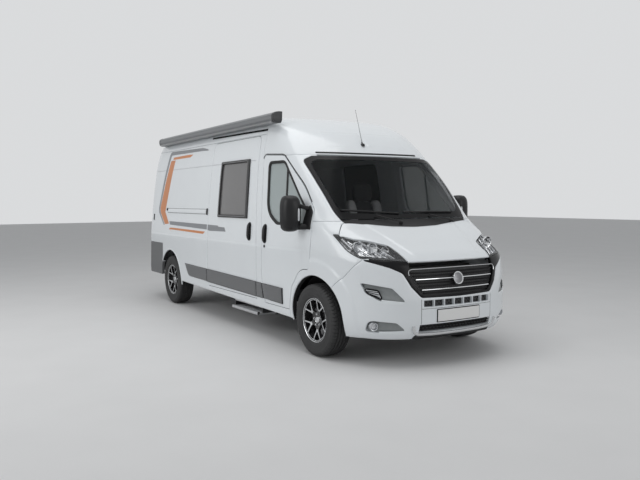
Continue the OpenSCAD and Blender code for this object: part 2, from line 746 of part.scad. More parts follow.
module chassis_frame() {
    cross_n = 5;
    rail_x0 = tail_x + 200;
    rail_x1 = nose_x - 260;
    z0 = floor_z - floor_t - rail_h;
    color("dimgray") {
        mirrored() translate([rail_x0, rail_span / 2 - rail_w, z0]) cube([rail_x1 - rail_x0, rail_w, rail_h]);
        for (k = [0:cross_n - 1]) translate([rail_x0 + 400 + k * 700, -rail_span / 2 + rail_w, z0 + 30])
            cube([60, rail_span - 2 * rail_w, rail_h - 60]);
    }
}
box_y = rail_span / 2;   // inner face of the wheel boxes
box_end_y = half - wall - 95;
box_t = 5;
box_r = 455;
module wheel_box(x, y0) {
    difference() {
        translate([x, box_y, tyre_r]) rotate([-90, 0, 0]) cylinder(r = box_r, h = y0 - box_y);
        translate([x, box_y + box_t, tyre_r]) rotate([-90, 0, 0]) cylinder(r = box_r - box_t, h = y0);
        translate([x - far, 0, -far]) cube([2 * far, side_far, far + tyre_r]);
    }
}
// Room that a wheel box takes out of the skin's inner side
module box_cut(x) {
    translate([x, box_y, tyre_r]) rotate([-90, 0, 0]) cylinder(r = box_r, h = box_end_y - box_y);
}
module wheel_boxes() {
    color("black") mirrored() {
        difference() {
            wheel_box(axle_f, box_end_y);
            translate([axle_f, king_y, 0]) cylinder(r = strut_r, h = far);
        }
        difference() {
            wheel_box(axle_r, box_end_y);
            translate([axle_r, 0, wheel_z]) rotate([-90, 0, 0]) cylinder(r = beam_r + door_gap, h = half);
        }
    }
}
module engine() {
    color("gray") translate([axle_f + 70, -rail_span / 2 + rail_w, 330]) cube([500, rail_span - 2 * rail_w, 560]);
}
module tanks() {
    z1 = floor_z - floor_t;
    color("dimgray") {
        translate([axle_f - 1700, rail_span / 2, z1 - 180]) cube([900, 250, 180]);
        translate([axle_f - 2900, rail_span / 2, z1 - 170]) cube([700, 250, 170]);
    }
}

// Axles, knuckles and wheels
wheel_z = tyre_r;
king_y = track_f / 2 - tyre_w / 2 - 33;
strut_r = 25;
knuckle_h = 240;
hub_gap = 0.3;
module front_axle() {
    color("dimgray") {
        translate([axle_f - 60, -rail_span / 2, floor_z - floor_t - rail_h - 60]) cube([120, rail_span, 60]);
        mirrored() {
            // lower arm and its ball pin
            translate([axle_f - 40, rail_span / 2 - rail_w, wheel_z - knuckle_h / 2 - 32])
                cube([80, king_y + 25 - rail_span / 2 + rail_w, 30]);
            translate([axle_f - 40, rail_span / 2 - rail_w, wheel_z - knuckle_h / 2 - 32])
                cube([80, rail_w - 5, floor_z - floor_t - rail_h - wheel_z + knuckle_h / 2 + 32]);
            translate([axle_f, king_y, wheel_z - knuckle_h / 2 - 10]) cylinder(r = kingpin_r, h = 50);
            // strut with the pin that the knuckle turns on
            translate([axle_f, king_y, wheel_z + knuckle_h / 2 + 2]) cylinder(r = strut_r, h = box_r - knuckle_h / 2 + 10);
            translate([axle_f, king_y, wheel_z + knuckle_h / 2 - 38]) cylinder(r = kingpin_r, h = 50);
        }
    }
}
module knuckle() {
    color("gray") difference() {
        union() {
            translate([axle_f, king_y, wheel_z - knuckle_h / 2]) cylinder(r = kingpin_r + 12, h = knuckle_h);
            translate([axle_f, king_y, wheel_z]) rotate([-90, 0, 0])
                cylinder(r = spindle_r, h = track_f / 2 + 20 - king_y);
        }
        translate([axle_f, king_y, wheel_z - knuckle_h / 2 - 1]) cylinder(r = kingpin_r + pin_gap, h = 43);
        translate([axle_f, king_y, wheel_z + knuckle_h / 2 - 42]) cylinder(r = kingpin_r + pin_gap, h = 43);
    }
}
module knuckle_left() { knuckle(); }
module knuckle_right() { mirror([0, 1, 0]) knuckle(); }
beam_r = 30;
spring_l = 1200;
module rear_axle() {
    color("dimgray") {
        translate([axle_r, -track_r / 2 + 85, wheel_z]) rotate([-90, 0, 0]) cylinder(r = beam_r, h = track_r - 170);
        translate([axle_r, -track_r / 2 - 20, wheel_z]) rotate([-90, 0, 0]) cylinder(r = spindle_r, h = track_r + 40);
        // leaf springs under the beam, each hung from its rail at both ends
        mirrored() translate([axle_r, rail_span / 2 - rail_w + 5, 0]) {
            translate([-spring_l / 2, 0, wheel_z - beam_r - 22]) cube([spring_l, 70, 26]);
            for (x = [-spring_l / 2, spring_l / 2 - 30]) translate([x, 0, wheel_z - beam_r - 22])
                cube([30, 70, floor_z - floor_t - rail_h - wheel_z + beam_r + 22]);
        }
    }
}
rim_w = 190;
bead_w = rim_w - 24;   // between the flanges
bead_gap = 2;          // between the tyre and the rim's round faces
flange_r = rim_r + 17;
hub_r = 72;
module rim() {
    face_y = 78;       // outer face of the spokes from the wheel's middle
    color("gray") {
        rotate([-90, 0, 0]) rotate_extrude() polygon([
            [rim_r - 14, -rim_w / 2], [flange_r, -rim_w / 2], [flange_r, -bead_w / 2],
            [rim_r, -bead_w / 2], [rim_r, bead_w / 2], [flange_r, bead_w / 2],
            [flange_r, rim_w / 2], [rim_r - 14, rim_w / 2]]);
        difference() {
            union() {
                rotate([-90, 0, 0]) translate([0, 0, -40]) cylinder(r = hub_r, h = face_y + 30);
                rotate([-90, 0, 0]) translate([0, 0, -40]) cylinder(r = 145, h = 25);
            }
            rotate([-90, 0, 0]) translate([0, 0, -50]) cylinder(r = spindle_r + hub_gap, h = 50 + 20 + 5);
        }
        for (k = [0:spoke_pairs - 1], s = [-1, 1]) rotate([0, 360 / spoke_pairs * k, 0]) rotate([-90, 0, 0])
            translate([0, 0, face_y - 40]) linear_extrude(40) polygon([
                [s * 8, hub_r - 12], [s * 34, hub_r - 12], [s * 62, rim_r - 12], [s * 40, rim_r - 12]]);
    }
}
module tyre() {
    shoulder = 35;
    color("black") rotate([-90, 0, 0]) rotate_extrude() polygon(rounded([
        [flange_r + bead_gap, -bead_w / 2 + hub_gap, 0], [flange_r + 12, -tyre_w / 2 + 8, 12],
        [(flange_r + tyre_r) / 2, -tyre_w / 2, 20], [tyre_r - 12, -tyre_w / 2 + 8, shoulder],
        [tyre_r, -tyre_w / 2 + 40, 8], [tyre_r, tyre_w / 2 - 40, 8],
        [tyre_r - 12, tyre_w / 2 - 8, shoulder], [(flange_r + tyre_r) / 2, tyre_w / 2, 20],
        [flange_r + 12, tyre_w / 2 - 8, 12], [flange_r + bead_gap, bead_w / 2 - hub_gap, 0],
        [rim_r + bead_gap, bead_w / 2 - hub_gap, 0], [rim_r + bead_gap, -bead_w / 2 + hub_gap, 0]]));
}
module at_wheel(x, y) { translate([x, y, wheel_z]) mirror([0, y < 0 ? 1 : 0, 0]) children(); }
module rim_front_left() { at_wheel(axle_f, track_f / 2) rim(); }
module rim_front_right() { at_wheel(axle_f, -track_f / 2) rim(); }
module rim_rear_left() { at_wheel(axle_r, track_r / 2) rim(); }
module rim_rear_right() { at_wheel(axle_r, -track_r / 2) rim(); }
module tyre_front_left() { at_wheel(axle_f, track_f / 2) tyre(); }
module tyre_front_right() { at_wheel(axle_f, -track_f / 2) tyre(); }
module tyre_rear_left() { at_wheel(axle_r, track_r / 2) tyre(); }
module tyre_rear_right() { at_wheel(axle_r, -track_r / 2) tyre(); }

// Entry step under the sliding door
step_x = slide_front_x - 35 - step_l;
step_z = 222;
step_y = 985;
step_rod_r = 8;
step_rod_z = step_z + 11;
step_rod_in = 60;      // from the tread's end to its guide rod
step_front_y = 930;    // face of the housing above the tread
step_front_z = 300;
step_front_h = 45;
step_side = 6;         // between the tread's end and the housing's end plate
module step_frame() {
    leg_y = step_y - step_d - 20;
    leg_z = step_z - 20;
    color("dimgray") {
        for (x = [step_x + step_rod_in - 20, step_x + step_l - step_rod_in - 20]) {
            // leg that hangs from the floor and guides a rod
            difference() {
                translate([x, -leg_y, leg_z]) cube([40, leg_y - box_y, floor_z - floor_t - leg_z]);
                translate([x + 20, 0, step_rod_z]) rotate([90, 0, 0]) cylinder(r = step_rod_r + pin_gap, h = far);
            }
            // arm out to the housing's face
            translate([x, -step_front_y, step_front_z]) cube([40, step_front_y - leg_y + 1, step_front_h]);
        }
        for (x = [step_x - step_side - 12, step_x + step_l + step_side])
            translate([x, -step_front_y, step_z + 20]) cube([12, 180, step_front_z + step_front_h - step_z - 20]);
    }
    color("silver") translate([step_x - step_side - 1, -step_front_y, step_front_z])
        cube([step_l + 2 * step_side + 2, 14, step_front_h]);
}
module entry_step() {
    color("silver") translate([step_x, -step_y, 0]) {
        translate([0, 0, step_z]) cube([step_l, step_d, 22]);
        translate([0, 0, step_z]) cube([step_l, 25, 32]);
        // guide rods
        for (x = [step_rod_in, step_l - step_rod_in]) translate([x, step_d - 10, step_rod_z]) rotate([-90, 0, 0])
            cylinder(r = step_rod_r, h = step_y - step_d - box_y);
    }
}

// Interior that shows through the glass
module dashboard() {
    dash_half = hinge_y - post_in - 60;
    color("dimgray") difference() {
        rotate([90, 0, 0]) translate([0, 0, -dash_half]) linear_extrude(2 * dash_half) polygon(rounded([
            [axle_f - 420, 900, 30], [axle_f - 380, 1120, 60], [axle_f - 150, 1190, 60],
            [axle_f + 60, 1200, 20], [axle_f + 60, 830, 0], [axle_f - 250, 830, 60]]));
        at_column() translate([0, 0, -column_l - 5]) cylinder(r = column_r + pin_gap, h = column_l);
    }
}
column_r = 20;
column_l = 340;
module at_column() { translate([axle_f - 520, 420, 1150]) rotate([0, -62, 0]) children(); }
module steering_wheel() {
    color("black") at_column() {
        translate([0, 0, -column_l]) cylinder(r = column_r, h = column_l);
        rotate_extrude() translate([steer_r - 16, 0]) circle(r = 16);
        translate([0, 0, -30]) cylinder(r = 60, h = 40);
        for (a = [0, 120, 240]) rotate([0, 0, a]) translate([20, -20, -12]) cube([steer_r - 36, 40, 14]);
    }
}
// Seat profile in side view, [x, z, corner radius], from the seat's rear foot
SEAT = [
    [60, 0, 0], [440, 0, 0], [440, 290, 0], [500, 300, 40], [500, 415, 40], [165, 415, 60],
    [30, 960, 40], [-90, 960, 40], [20, 400, 60], [60, 300, 0]
];
HEADREST = [[20, 930, 0], [-10, 1150, 40], [-105, 1150, 40], [-75, 930, 0]];
module seats() {
    color("gray") mirrored() translate([axle_f - 1140, 420, floor_z]) rotate([90, 0, 0]) {
        translate([0, 0, -seat_w / 2]) linear_extrude(seat_w) polygon(rounded(SEAT));
        translate([0, 0, -seat_w / 4]) linear_extrude(seat_w / 2) polygon(rounded(HEADREST));
    }
}

floor();
chassis_frame();
front_axle();
rear_axle();
engine();
tanks();
wheel_boxes();
side_wall_left();
side_wall_right();
roof();
roof_vent();
a_pillars();
door_posts();
wings();
front_bumper();
grille();
front_lamps();
windscreen();
cowl_panel();
sliding_door();
side_windows();
rear_lamps();
rear_bumper();
awning();
step_frame();
entry_step();
dashboard();
steering_wheel();
seats();
hood();
front_door_left();
front_door_right();
door_glass_left();
door_glass_right();
mirror_left();
mirror_right();
rear_door_left();
rear_door_right();
rear_glass_left();
rear_glass_right();
knuckle_left();
knuckle_right();
rim_front_left();
rim_front_right();
rim_rear_left();
rim_rear_right();
tyre_front_left();
tyre_front_right();
tyre_rear_left();
tyre_rear_right();
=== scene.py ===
"""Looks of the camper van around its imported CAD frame. Metres, +X forward, +Y left, +Z up."""

import math

import bmesh
import bpy
import numpy as np
from mathutils import Matrix, Vector, geometry


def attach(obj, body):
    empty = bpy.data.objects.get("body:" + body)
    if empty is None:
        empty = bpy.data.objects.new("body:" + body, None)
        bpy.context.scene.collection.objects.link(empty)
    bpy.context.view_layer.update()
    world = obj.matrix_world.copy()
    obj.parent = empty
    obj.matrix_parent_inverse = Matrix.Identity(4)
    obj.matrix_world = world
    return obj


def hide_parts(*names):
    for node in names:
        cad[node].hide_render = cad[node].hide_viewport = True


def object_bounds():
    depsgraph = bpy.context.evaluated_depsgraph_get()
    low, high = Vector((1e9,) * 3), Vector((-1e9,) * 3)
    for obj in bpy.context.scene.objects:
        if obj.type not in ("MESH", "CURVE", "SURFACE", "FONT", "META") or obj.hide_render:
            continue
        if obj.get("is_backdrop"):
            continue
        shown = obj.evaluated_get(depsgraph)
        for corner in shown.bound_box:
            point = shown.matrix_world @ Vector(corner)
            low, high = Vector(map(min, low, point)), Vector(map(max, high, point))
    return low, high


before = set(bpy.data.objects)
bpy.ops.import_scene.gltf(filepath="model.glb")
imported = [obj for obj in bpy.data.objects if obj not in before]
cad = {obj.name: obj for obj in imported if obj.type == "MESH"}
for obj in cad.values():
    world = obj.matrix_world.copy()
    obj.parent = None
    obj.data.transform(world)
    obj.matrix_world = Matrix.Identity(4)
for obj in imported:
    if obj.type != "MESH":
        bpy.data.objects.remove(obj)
cad_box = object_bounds()

# Studio: a pale floor that runs out to a pale backdrop, lit by a soft sky, a large overhead softbox
# and two weaker fills. The camera stands at the photograph's place, off the right front corner.
camera_place = Vector((7.5757, -4.4433, 1.5412))
camera_target = Vector((-0.015, 0.0, 0.966))
camera_roll = math.radians(-0.27)
camera = bpy.data.cameras.new("camera")
camera.sensor_width = 36
camera.lens = 37.62
camera.shift_x = 0.0377
camera.shift_y = 0.0052
camera.clip_end = 200
camera_object = bpy.data.objects.new("camera", camera)
bpy.context.scene.collection.objects.link(camera_object)
ahead = (camera_target - camera_place).normalized()
level_right = ahead.cross(Vector((0, 0, 1))).normalized()
level_up = level_right.cross(ahead)
tilted_right = level_right * math.cos(camera_roll) + level_up * math.sin(camera_roll)
tilted_up = tilted_right.cross(ahead)
turn = Matrix((tilted_right, tilted_up, -ahead)).transposed()
camera_object.matrix_world = Matrix.Translation(camera_place) @ turn.to_4x4()
bpy.context.scene.camera = camera_object
bpy.context.scene.view_settings.view_transform = "Standard"


class Value:
    """A socket in a finish. Arithmetic on it adds Math nodes."""

    def __init__(self, finish, socket):
        self.finish = finish
        self.socket = socket

    def math(self, operation, *others):
        return self.finish.node("Math", {"operation": operation},
                                {k: o for k, o in enumerate((self, *others))})

    def __add__(self, other):
        return self.math("ADD", other)

    def __sub__(self, other):
        return self.math("SUBTRACT", other)

    def __mul__(self, other):
        return self.math("MULTIPLY", other)

    def __rsub__(self, other):
        return (self * -1) + other

    __radd__ = __add__
    __rmul__ = __mul__


class Nodes:
    """A node tree. node() adds any node and returns its output as a Value."""

    def __init__(self, owner):
        owner.use_nodes = True
        self.tree = owner.node_tree

    def put(self, socket, value):
        if isinstance(value, Value):
            self.tree.links.new(value.socket, socket)
        elif hasattr(value, "__len__") and len(value) == 3 and socket.type == "RGBA":
            socket.default_value = (*value, 1)
        else:
            socket.default_value = value

    def node(self, kind, settings=None, inputs=None, out=0):
        made = self.tree.nodes.new("ShaderNode" + kind)
        for key, value in (settings or {}).items():
            if key == "stops":
                while len(made.color_ramp.elements) < len(value):
                    made.color_ramp.elements.new(0.5)
                for element, (place, colour) in zip(made.color_ramp.elements, value):
                    element.position = place
                    element.color = (*colour, 1)
            else:
                setattr(made, key, value)
        for key, value in (inputs or {}).items():
            self.put(made.inputs[key], value)
        return Value(self, made.outputs[out])

    def clamp(self, value):
        return self.node("Clamp", {}, {"Value": value})


class Finish(Nodes):
    """A node-based material, with what its patterns need."""

    def __init__(self, name):
        self.material = bpy.data.materials.new(name)
        super().__init__(self.material)
        self.shader = self.tree.nodes["Principled BSDF"]
        self.position = None

    def place(self):
        if self.position is None:
            self.position = self.node("TexCoord", out="Object")
        return self.position

    def noise(self, scale, detail=3.0, stretch=(1, 1, 1)):
        where = self.node("Mapping", {}, {"Vector": self.place(), "Scale": stretch})
        return self.node("TexNoise", {}, {"Vector": where, "Scale": scale, "Detail": detail})

    def tint(self, mask, dark, light):
        return self.node("ValToRGB", {"stops": [(0.0, dark), (1.0, light)]}, {0: mask})

    def bump(self, height, distance, strength=1.0):
        normal = self.node("Bump", {}, {"Height": height, "Distance": distance, "Strength": strength})
        self.put(self.shader.inputs["Normal"], normal)

    def set(self, **values):
        for key, value in values.items():
            self.put(self.shader.inputs[key.replace("_", " ")], value)
        return self


def finish(name, dark, light, roughness, scale, spread=0.08, bump=0.0, detail=4.0, stretch=(1, 1, 1),
           **sockets):
    """A finish whose colour, roughness and fine relief all vary with one noise."""
    made = Finish(name)
    grain = made.noise(scale, detail, stretch)
    made.set(Base_Color=made.tint(grain, dark, light))
    made.set(Roughness=grain * spread + (roughness - spread / 2))
    made.set(**sockets)
    if bump:
        made.bump(grain, bump)
    return made.material


floor_mesh = bpy.data.meshes.new("studio_floor")
floor_half = 40
floor_mesh.from_pydata([(-floor_half, -floor_half, 0), (floor_half, -floor_half, 0),
                        (floor_half, floor_half, 0), (-floor_half, floor_half, 0)], [], [(0, 1, 2, 3)])
studio_floor = bpy.data.objects.new("studio_floor", floor_mesh)
bpy.context.scene.collection.objects.link(studio_floor)
floor_mesh.materials.append(finish("studio_floor", (0.70, 0.70, 0.70), (0.76, 0.76, 0.76), 0.75, 1.5))
studio_floor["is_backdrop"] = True
world = bpy.data.worlds.new("studio")
bpy.context.scene.world = world
around_van = Nodes(world)
sky = around_van.node("Background", {}, {"Color": (0.86, 0.88, 0.90), "Strength": 0.42})
backdrop = around_van.node("Background", {}, {"Color": (0.70, 0.71, 0.72)})
in_view, in_gloss, in_glass = (around_van.node("LightPath", out=f"Is {ray} Ray")
                               for ray in ("Camera", "Glossy", "Transmission"))
seen = around_van.clamp(in_view + in_gloss + in_glass)
around_van.put(around_van.tree.nodes["World Output"].inputs["Surface"],
               around_van.node("MixShader", {}, {0: seen, 1: sky, 2: backdrop}))
LAMPS = [
    # name, place, aims at, size, watts
    ("overhead", (1.0, -1.0, 8.0), (0, 0, 1), 7.0, 235),
    ("right_fill", (0.5, -9.0, 4.0), (0, 0, 1.2), 5.0, 185),
    ("front_fill", (9.5, 2.5, 3.5), (1.5, 0, 1.2), 4.0, 80),
]
for name, place, aim, size, watts in LAMPS:
    lamp = bpy.data.lights.new(name, "AREA")
    lamp.size = size
    lamp.energy = watts
    lamp_object = bpy.data.objects.new(name, lamp)
    bpy.context.scene.collection.objects.link(lamp_object)
    lamp_object.location = place
    lamp_object.rotation_euler = (Vector(aim) - Vector(place)).to_track_quat("-Z", "Y").to_euler()

# Body skin: pressed steel, one smooth surface that every body panel is cut from. Each row is one plan
# section, in millimetres: height, nose set back, nose handle past the half width, shoulder ahead of the
# front axle, shoulder in, side's start ahead of the axle, side in, tail set forward, tail corner radius.
BODY_ROWS = np.array([
    (250, 69, -125, 649, 40, -1051, 40, 34, 90),
    (330, 24, -65, 689, 20, -1051, 20, 9, 90),
    (450, 0, -25, 699, 7, -1051, 7, 4, 90),
    (600, 0, -25, 699, 3, -1051, 1, 27, 90),
    (700, 11, -15, 689, 3, -1051, 1, 27, 100),
    (860, 44, 15, 659, 3, -1051, 1, 29, 110),
    (960, 79, 45, 629, 5, -1051, 1, 31, 115),
    (1010, 139, 75, 599, 9, -1051, 2, 32, 120),
    (1100, 309, 105, 549, 17, -1051, 7, 34, 120),
    (1180, 459, 125, 489, 27, -1071, 12, 36, 125),
    (1250, 609, 155, 429, 37, -1091, 17, 38, 125),
    (1300, 709, 175, 379, 47, -1121, 22, 39, 130),
    (1363, 769, 175, 299, 57, -1151, 27, 41, 130),
    (1500, 889, 165, 179, 75, -1191, 39, 46, 130),
    (1700, 1059, 145, -31, 100, -1251, 59, 54, 135),
    (1900, 1234, 125, -311, 120, -1321, 81, 66, 140),
    (2000, 1327, 115, -461, 132, -1361, 95, 74, 145),
    (2100, 1421, 95, -591, 149, -1411, 111, 84, 150),
    (2200, 1529, 65, -721, 169, -1461, 129, 96, 160),
    (2300, 1664, 25, -871, 195, -1521, 153, 114, 180),
    (2400, 1864, -35, -1061, 240, -1601, 193, 144, 200),
    (2450, 2009, -95, -1201, 290, -1671, 235, 174, 215),
    (2490, 2209, -185, -1401, 375, -1801, 309, 224, 230),
    (2512, 2439, -325, -1661, 495, -1991, 425, 314, 230),
    (2520, 2699, -525, -1951, 645, -2201, 575, 444, 220),
]) * 0.001
half = 1.025
nose_x = 2.999
tail_x = -2.999
tail_crown = 0.004
axle_f = nose_x - 0.948
axle_r = axle_f - 4.035
steps_up = np.hypot(np.diff(BODY_ROWS[:, 0]), np.diff(BODY_ROWS[:, 6]))
ROW_V = BODY_ROWS[0, 0] + np.concatenate(([0], np.cumsum(steps_up)))
RING_U = np.array([0, 2.40, 6.25, 6.45, 7.40])


def smooth_rows(at, rows):
    """A monotone cubic through the rows, which is smooth and never overshoots them."""
    run = np.diff(at)[:, None]
    slope = np.diff(rows, axis=0) / run
    tangent = np.vstack((slope[:1], np.zeros_like(slope[1:]), slope[-1:]))
    rising = slope[:-1] * slope[1:] > 0
    w1 = 2 * run[1:] + run[:-1]
    w2 = run[1:] + 2 * run[:-1]
    safe_a = np.where(rising, slope[:-1], 1)
    safe_b = np.where(rising, slope[1:], 1)
    tangent[1:-1] = np.where(rising, (w1 + w2) / (w1 / safe_a + w2 / safe_b), 0)

    def row_at(v):
        k = np.clip(np.searchsorted(at, v) - 1, 0, len(at) - 2)
        t = ((v - at[k]) / run[k, 0])[:, None]
        a, b = rows[k], rows[k + 1]
        da, db = tangent[k] * run[k], tangent[k + 1] * run[k]
        return (a * (1 + 2 * t) * (1 - t) ** 2 + da * t * (1 - t) ** 2
                + b * t * t * (3 - 2 * t) + db * t * t * (t - 1))

    return row_at


body_row = smooth_rows(ROW_V, BODY_ROWS)


def skin_points(u, v):
    """Points of the left half's skin: u runs from the nose round the side to the tail, v up the side."""
    z, back, handle, shoulder, shoulder_in, start, tuck, lean, round_r = body_row(v).T
    s = np.interp(u, RING_U, np.arange(5.0))
    t = np.clip(s, 0, 1)
    nose_at, side_at = nose_x - back, half - tuck
    bend = (1 - t) ** 3, 3 * t * (1 - t) ** 2, 3 * t * t * (1 - t), t ** 3
    x = (bend[0] + bend[1]) * nose_at + bend[2] * (axle_f + shoulder) + bend[3] * (axle_f + start)
    y = bend[1] * (half + handle) + bend[2] * (half - shoulder_in) + bend[3] * side_at
    turn_x = tail_x + lean + round_r
    along = np.clip(s - 1, 0, 1)
    x = np.where(s > 1, (axle_f + start) * (1 - along) + turn_x * along, x)
    angle = np.clip(s - 2, 0, 1) * math.pi / 2
    x = np.where(s > 2, turn_x - round_r * np.sin(angle), x)
    y = np.where(s > 2, side_at - round_r + round_r * np.cos(angle), y)
    across = np.clip(s - 3, 0, 1)
    y = np.where(s > 3, (side_at - round_r) * (1 - across), y)
    x = np.where(s > 3, tail_x + lean - tail_crown * (1 - (1 - across) ** 2), x)
    return np.column_stack((x, y, z))


def skin(uv):
    """Points and outward normals of the skin. Negative u lies on the right side."""
    uv = np.asarray(uv, float)
    u, v = np.abs(uv[:, 0]), uv[:, 1]
    nudge = 2e-4
    points = skin_points(u, v)
    along = skin_points(u + nudge, v) - skin_points(np.maximum(u - nudge, 0), v)
    up = skin_points(u, v + nudge) - skin_points(u, v - nudge)
    normals = np.cross(along, up)
    normals /= np.linalg.norm(normals, axis=1)[:, None]
    right = uv[:, 0] < 0
    points[right, 1] *= -1
    normals[right, 1] *= -1
    return points, normals


def solve(low, high, wanted, found):
    """Bisection for found(value) == wanted, where found falls as value rises."""
    low, high = np.full(len(wanted), low), np.full(len(wanted), high)
    for _ in range(44):
        middle = (low + high) / 2
        above = found(middle) > wanted
        low, high = np.where(above, middle, low), np.where(above, high, middle)
    return (low + high) / 2


def v_of_z(z):
    return solve(ROW_V[0], ROW_V[-1], -np.asarray(z, float), lambda v: -body_row(v)[:, 0])


def side_uv(points):
    """Skin places of [x, z] points seen from the left side."""
    x, z = np.asarray(points, float).T
    v = v_of_z(z)
    return np.column_stack((solve(0.0, RING_U[3], x, lambda u: skin_points(u, v)[:, 0]), v))


def front_uv(points):
    """Skin places of [y, z] points seen from the front."""
    y, z = np.asarray(points, float).T
    v = v_of_z(z)
    u = solve(0.0, RING_U[1], -np.abs(y), lambda u: -skin_points(u, v)[:, 1])
    return np.column_stack((np.where(y < 0, -u, u), v))


def tail_uv(points):
    """Skin places of [y, z] points seen from behind."""
    y, z = np.asarray(points, float).T
    v = v_of_z(z)
    u = solve(RING_U[2], RING_U[4], np.abs(y), lambda u: skin_points(u, v)[:, 1])
    return np.column_stack((np.where(y < 0, -u, u), v))


def plan_uv(points, z_low=0.90, z_high=1.50):
    """Skin places of [x, y] points of the nose seen from above."""
    x, y = np.asarray(points, float).T

    def x_at(z):
        return skin_points(np.abs(front_uv(np.column_stack((y, z)))[:, 0]), v_of_z(z))[:, 0]

    z = solve(z_low, z_high, x, x_at)
    return front_uv(np.column_stack((y, z)))


def straight(view, across0, up0, across1, up1, count):
    """Skin places along a straight line in a view, such as side_uv."""
    return view(np.column_stack((np.linspace(across0, across1, count), np.linspace(up0, up1, count))))


def rounded(points, scale=0.001, steps=6):
    """A closed outline from [across, up, corner radius] points in millimetres."""
    out = []
    corners = [(np.array(p[:2], float) * scale, p[2] * scale) for p in points]
    for k, (b, radius) in enumerate(corners):
        if radius <= 0:
            out.append(b)
            continue
        to_a = corners[k - 1][0] - b
        to_c = corners[(k + 1) % len(corners)][0] - b
        to_a, to_c = to_a / np.linalg.norm(to_a), to_c / np.linalg.norm(to_c)
        reach = radius / math.tan(math.acos(np.clip(to_a @ to_c, -1, 1)) / 2)
        p, q = b + to_a * reach, b + to_c * reach
        for t in np.linspace(0, 1, steps):
            out.append((1 - t) ** 2 * p + 2 * t * (1 - t) * b + t * t * q)
    return np.array(out)


def even(loop, step):
    """The closed loop with its edges split to at most the step."""
    parts = []
    for a, b in zip(loop, np.roll(loop, -1, axis=0)):
        count = max(1, math.ceil(np.linalg.norm(b - a) / step))
        parts.append(a + (b - a) * (np.arange(count) / count)[:, None])
    return np.vstack(parts)


def signed_area(loop):
    return 0.5 * np.sum(loop[:, 0] * np.roll(loop[:, 1], -1) - np.roll(loop[:, 0], -1) * loop[:, 1])


def inset(loop, distance):
    """The closed loop moved inwards by the distance."""
    side = 1 if signed_area(loop) > 0 else -1
    before, after = loop - np.roll(loop, 1, axis=0), np.roll(loop, -1, axis=0) - loop
    before /= np.linalg.norm(before, axis=1)[:, None] + 1e-12
    after /= np.linalg.norm(after, axis=1)[:, None] + 1e-12
    normal = np.column_stack((-(before + after)[:, 1], (before + after)[:, 0]))
    length = np.linalg.norm(normal, axis=1)[:, None]
    normal /= length + 1e-12
    spread = np.clip(length / 2, 0.5, 1)
    return loop + side * normal * distance / spread


def within(points, loop):
    """Which points lie inside the closed loop."""
    a, b = loop, np.roll(loop, -1, axis=0)
    x, y = points[:, :1], points[:, 1:]
    crosses = (a[:, 1] > y) != (b[:, 1] > y)
    rise = np.where(b[:, 1] == a[:, 1], 1e-12, b[:, 1] - a[:, 1])
    left = x < (b[:, 0] - a[:, 0]) * (y - a[:, 1]) / rise + a[:, 0]
    return (np.sum(crosses & left, axis=1) % 2) == 1


def piece(name, verts, faces, material, body, replaces=(), slot=None, sharp=38, groups=None):
    """A mesh object that rides on a body. Groups give each face's place in a list of materials."""
    mesh = bpy.data.meshes.new(name)
    mesh.from_pydata([tuple(p) for p in np.asarray(verts, float)], [],
                     [tuple(int(i) for i in f) for f in faces])
    if groups is not None:
        mesh.polygons.foreach_set("material_index", np.asarray(groups, np.int32))
    mesh.validate()
    tidy = bmesh.new()
    tidy.from_mesh(mesh)
    bmesh.ops.recalc_face_normals(tidy, faces=tidy.faces)
    tidy.to_mesh(mesh)
    tidy.free()
    mesh.shade_smooth()
    mesh.set_sharp_from_angle(angle=math.radians(sharp))
    for one in material if isinstance(material, (list, tuple)) else [material]:
        mesh.materials.append(one)
    made = bpy.data.objects.new(name, mesh)
    bpy.context.scene.collection.objects.link(made)
    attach(made, body)
    if replaces:
        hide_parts(*replaces)
    return made


def fill(loops, step):
    """Triangles over the area inside the first loop and outside the others."""
    loops = [even(np.asarray(loop, float), step) for loop in loops]
    edge = np.vstack(loops)
    low, high = edge.min(0), edge.max(0)
    rows = []
    for k, y in enumerate(np.arange(low[1], high[1], step * 0.87)):
        xs = np.arange(low[0] + (k % 2) * step / 2, high[0], step)
        rows.append(np.column_stack((xs, np.full(len(xs), y))))
    grid = np.vstack(rows)
    grid = grid[within(grid, loops[0])]
    for hole in loops[1:]:
        grid = grid[~within(grid, hole)]
    clear = np.ones(len(grid), bool)
    for start in range(0, len(grid), 2000):
        part = grid[start:start + 2000]
        gap = np.min(np.sum((part[:, None] - edge[None]) ** 2, axis=2), axis=1)
        clear[start:start + 2000] = gap > (0.6 * step) ** 2
    grid = grid[clear]
    edges, first = [], 0
    for loop in loops:
        count = len(loop)
        edges += [(first + k, first + (k + 1) % count) for k in range(count)]
        first += count
    spots = [Vector(p) for p in np.vstack((edge, grid))]
    made = geometry.delaunay_2d_cdt(spots, edges, [], 0, 1e-7)
    flat = np.array([tuple(p) for p in made[0]])
    faces = np.array([f for f in made[2] if len(f) == 3])
    middle = flat[faces].mean(1)
    keep = within(middle, loops[0])
    for hole in loops[1:]:
        keep &= ~within(middle, hole)
    return flat, faces[keep]


def rims(faces):
    """The open edges of a triangle sheet as loops of vertex numbers."""
    directed = np.vstack((faces[:, [0, 1]], faces[:, [1, 2]], faces[:, [2, 0]]))
    pairs = {(int(a), int(b)) for a, b in directed}
    after = {a: b for a, b in pairs if (b, a) not in pairs}
    loops = []
    while after:
        start = next(iter(after))
        loop = [start]
        while True:
            step = after.pop(loop[-1], None)
            if step is None or step == start:
                break
            loop.append(step)
        loops.append(np.array(loop))
    return loops


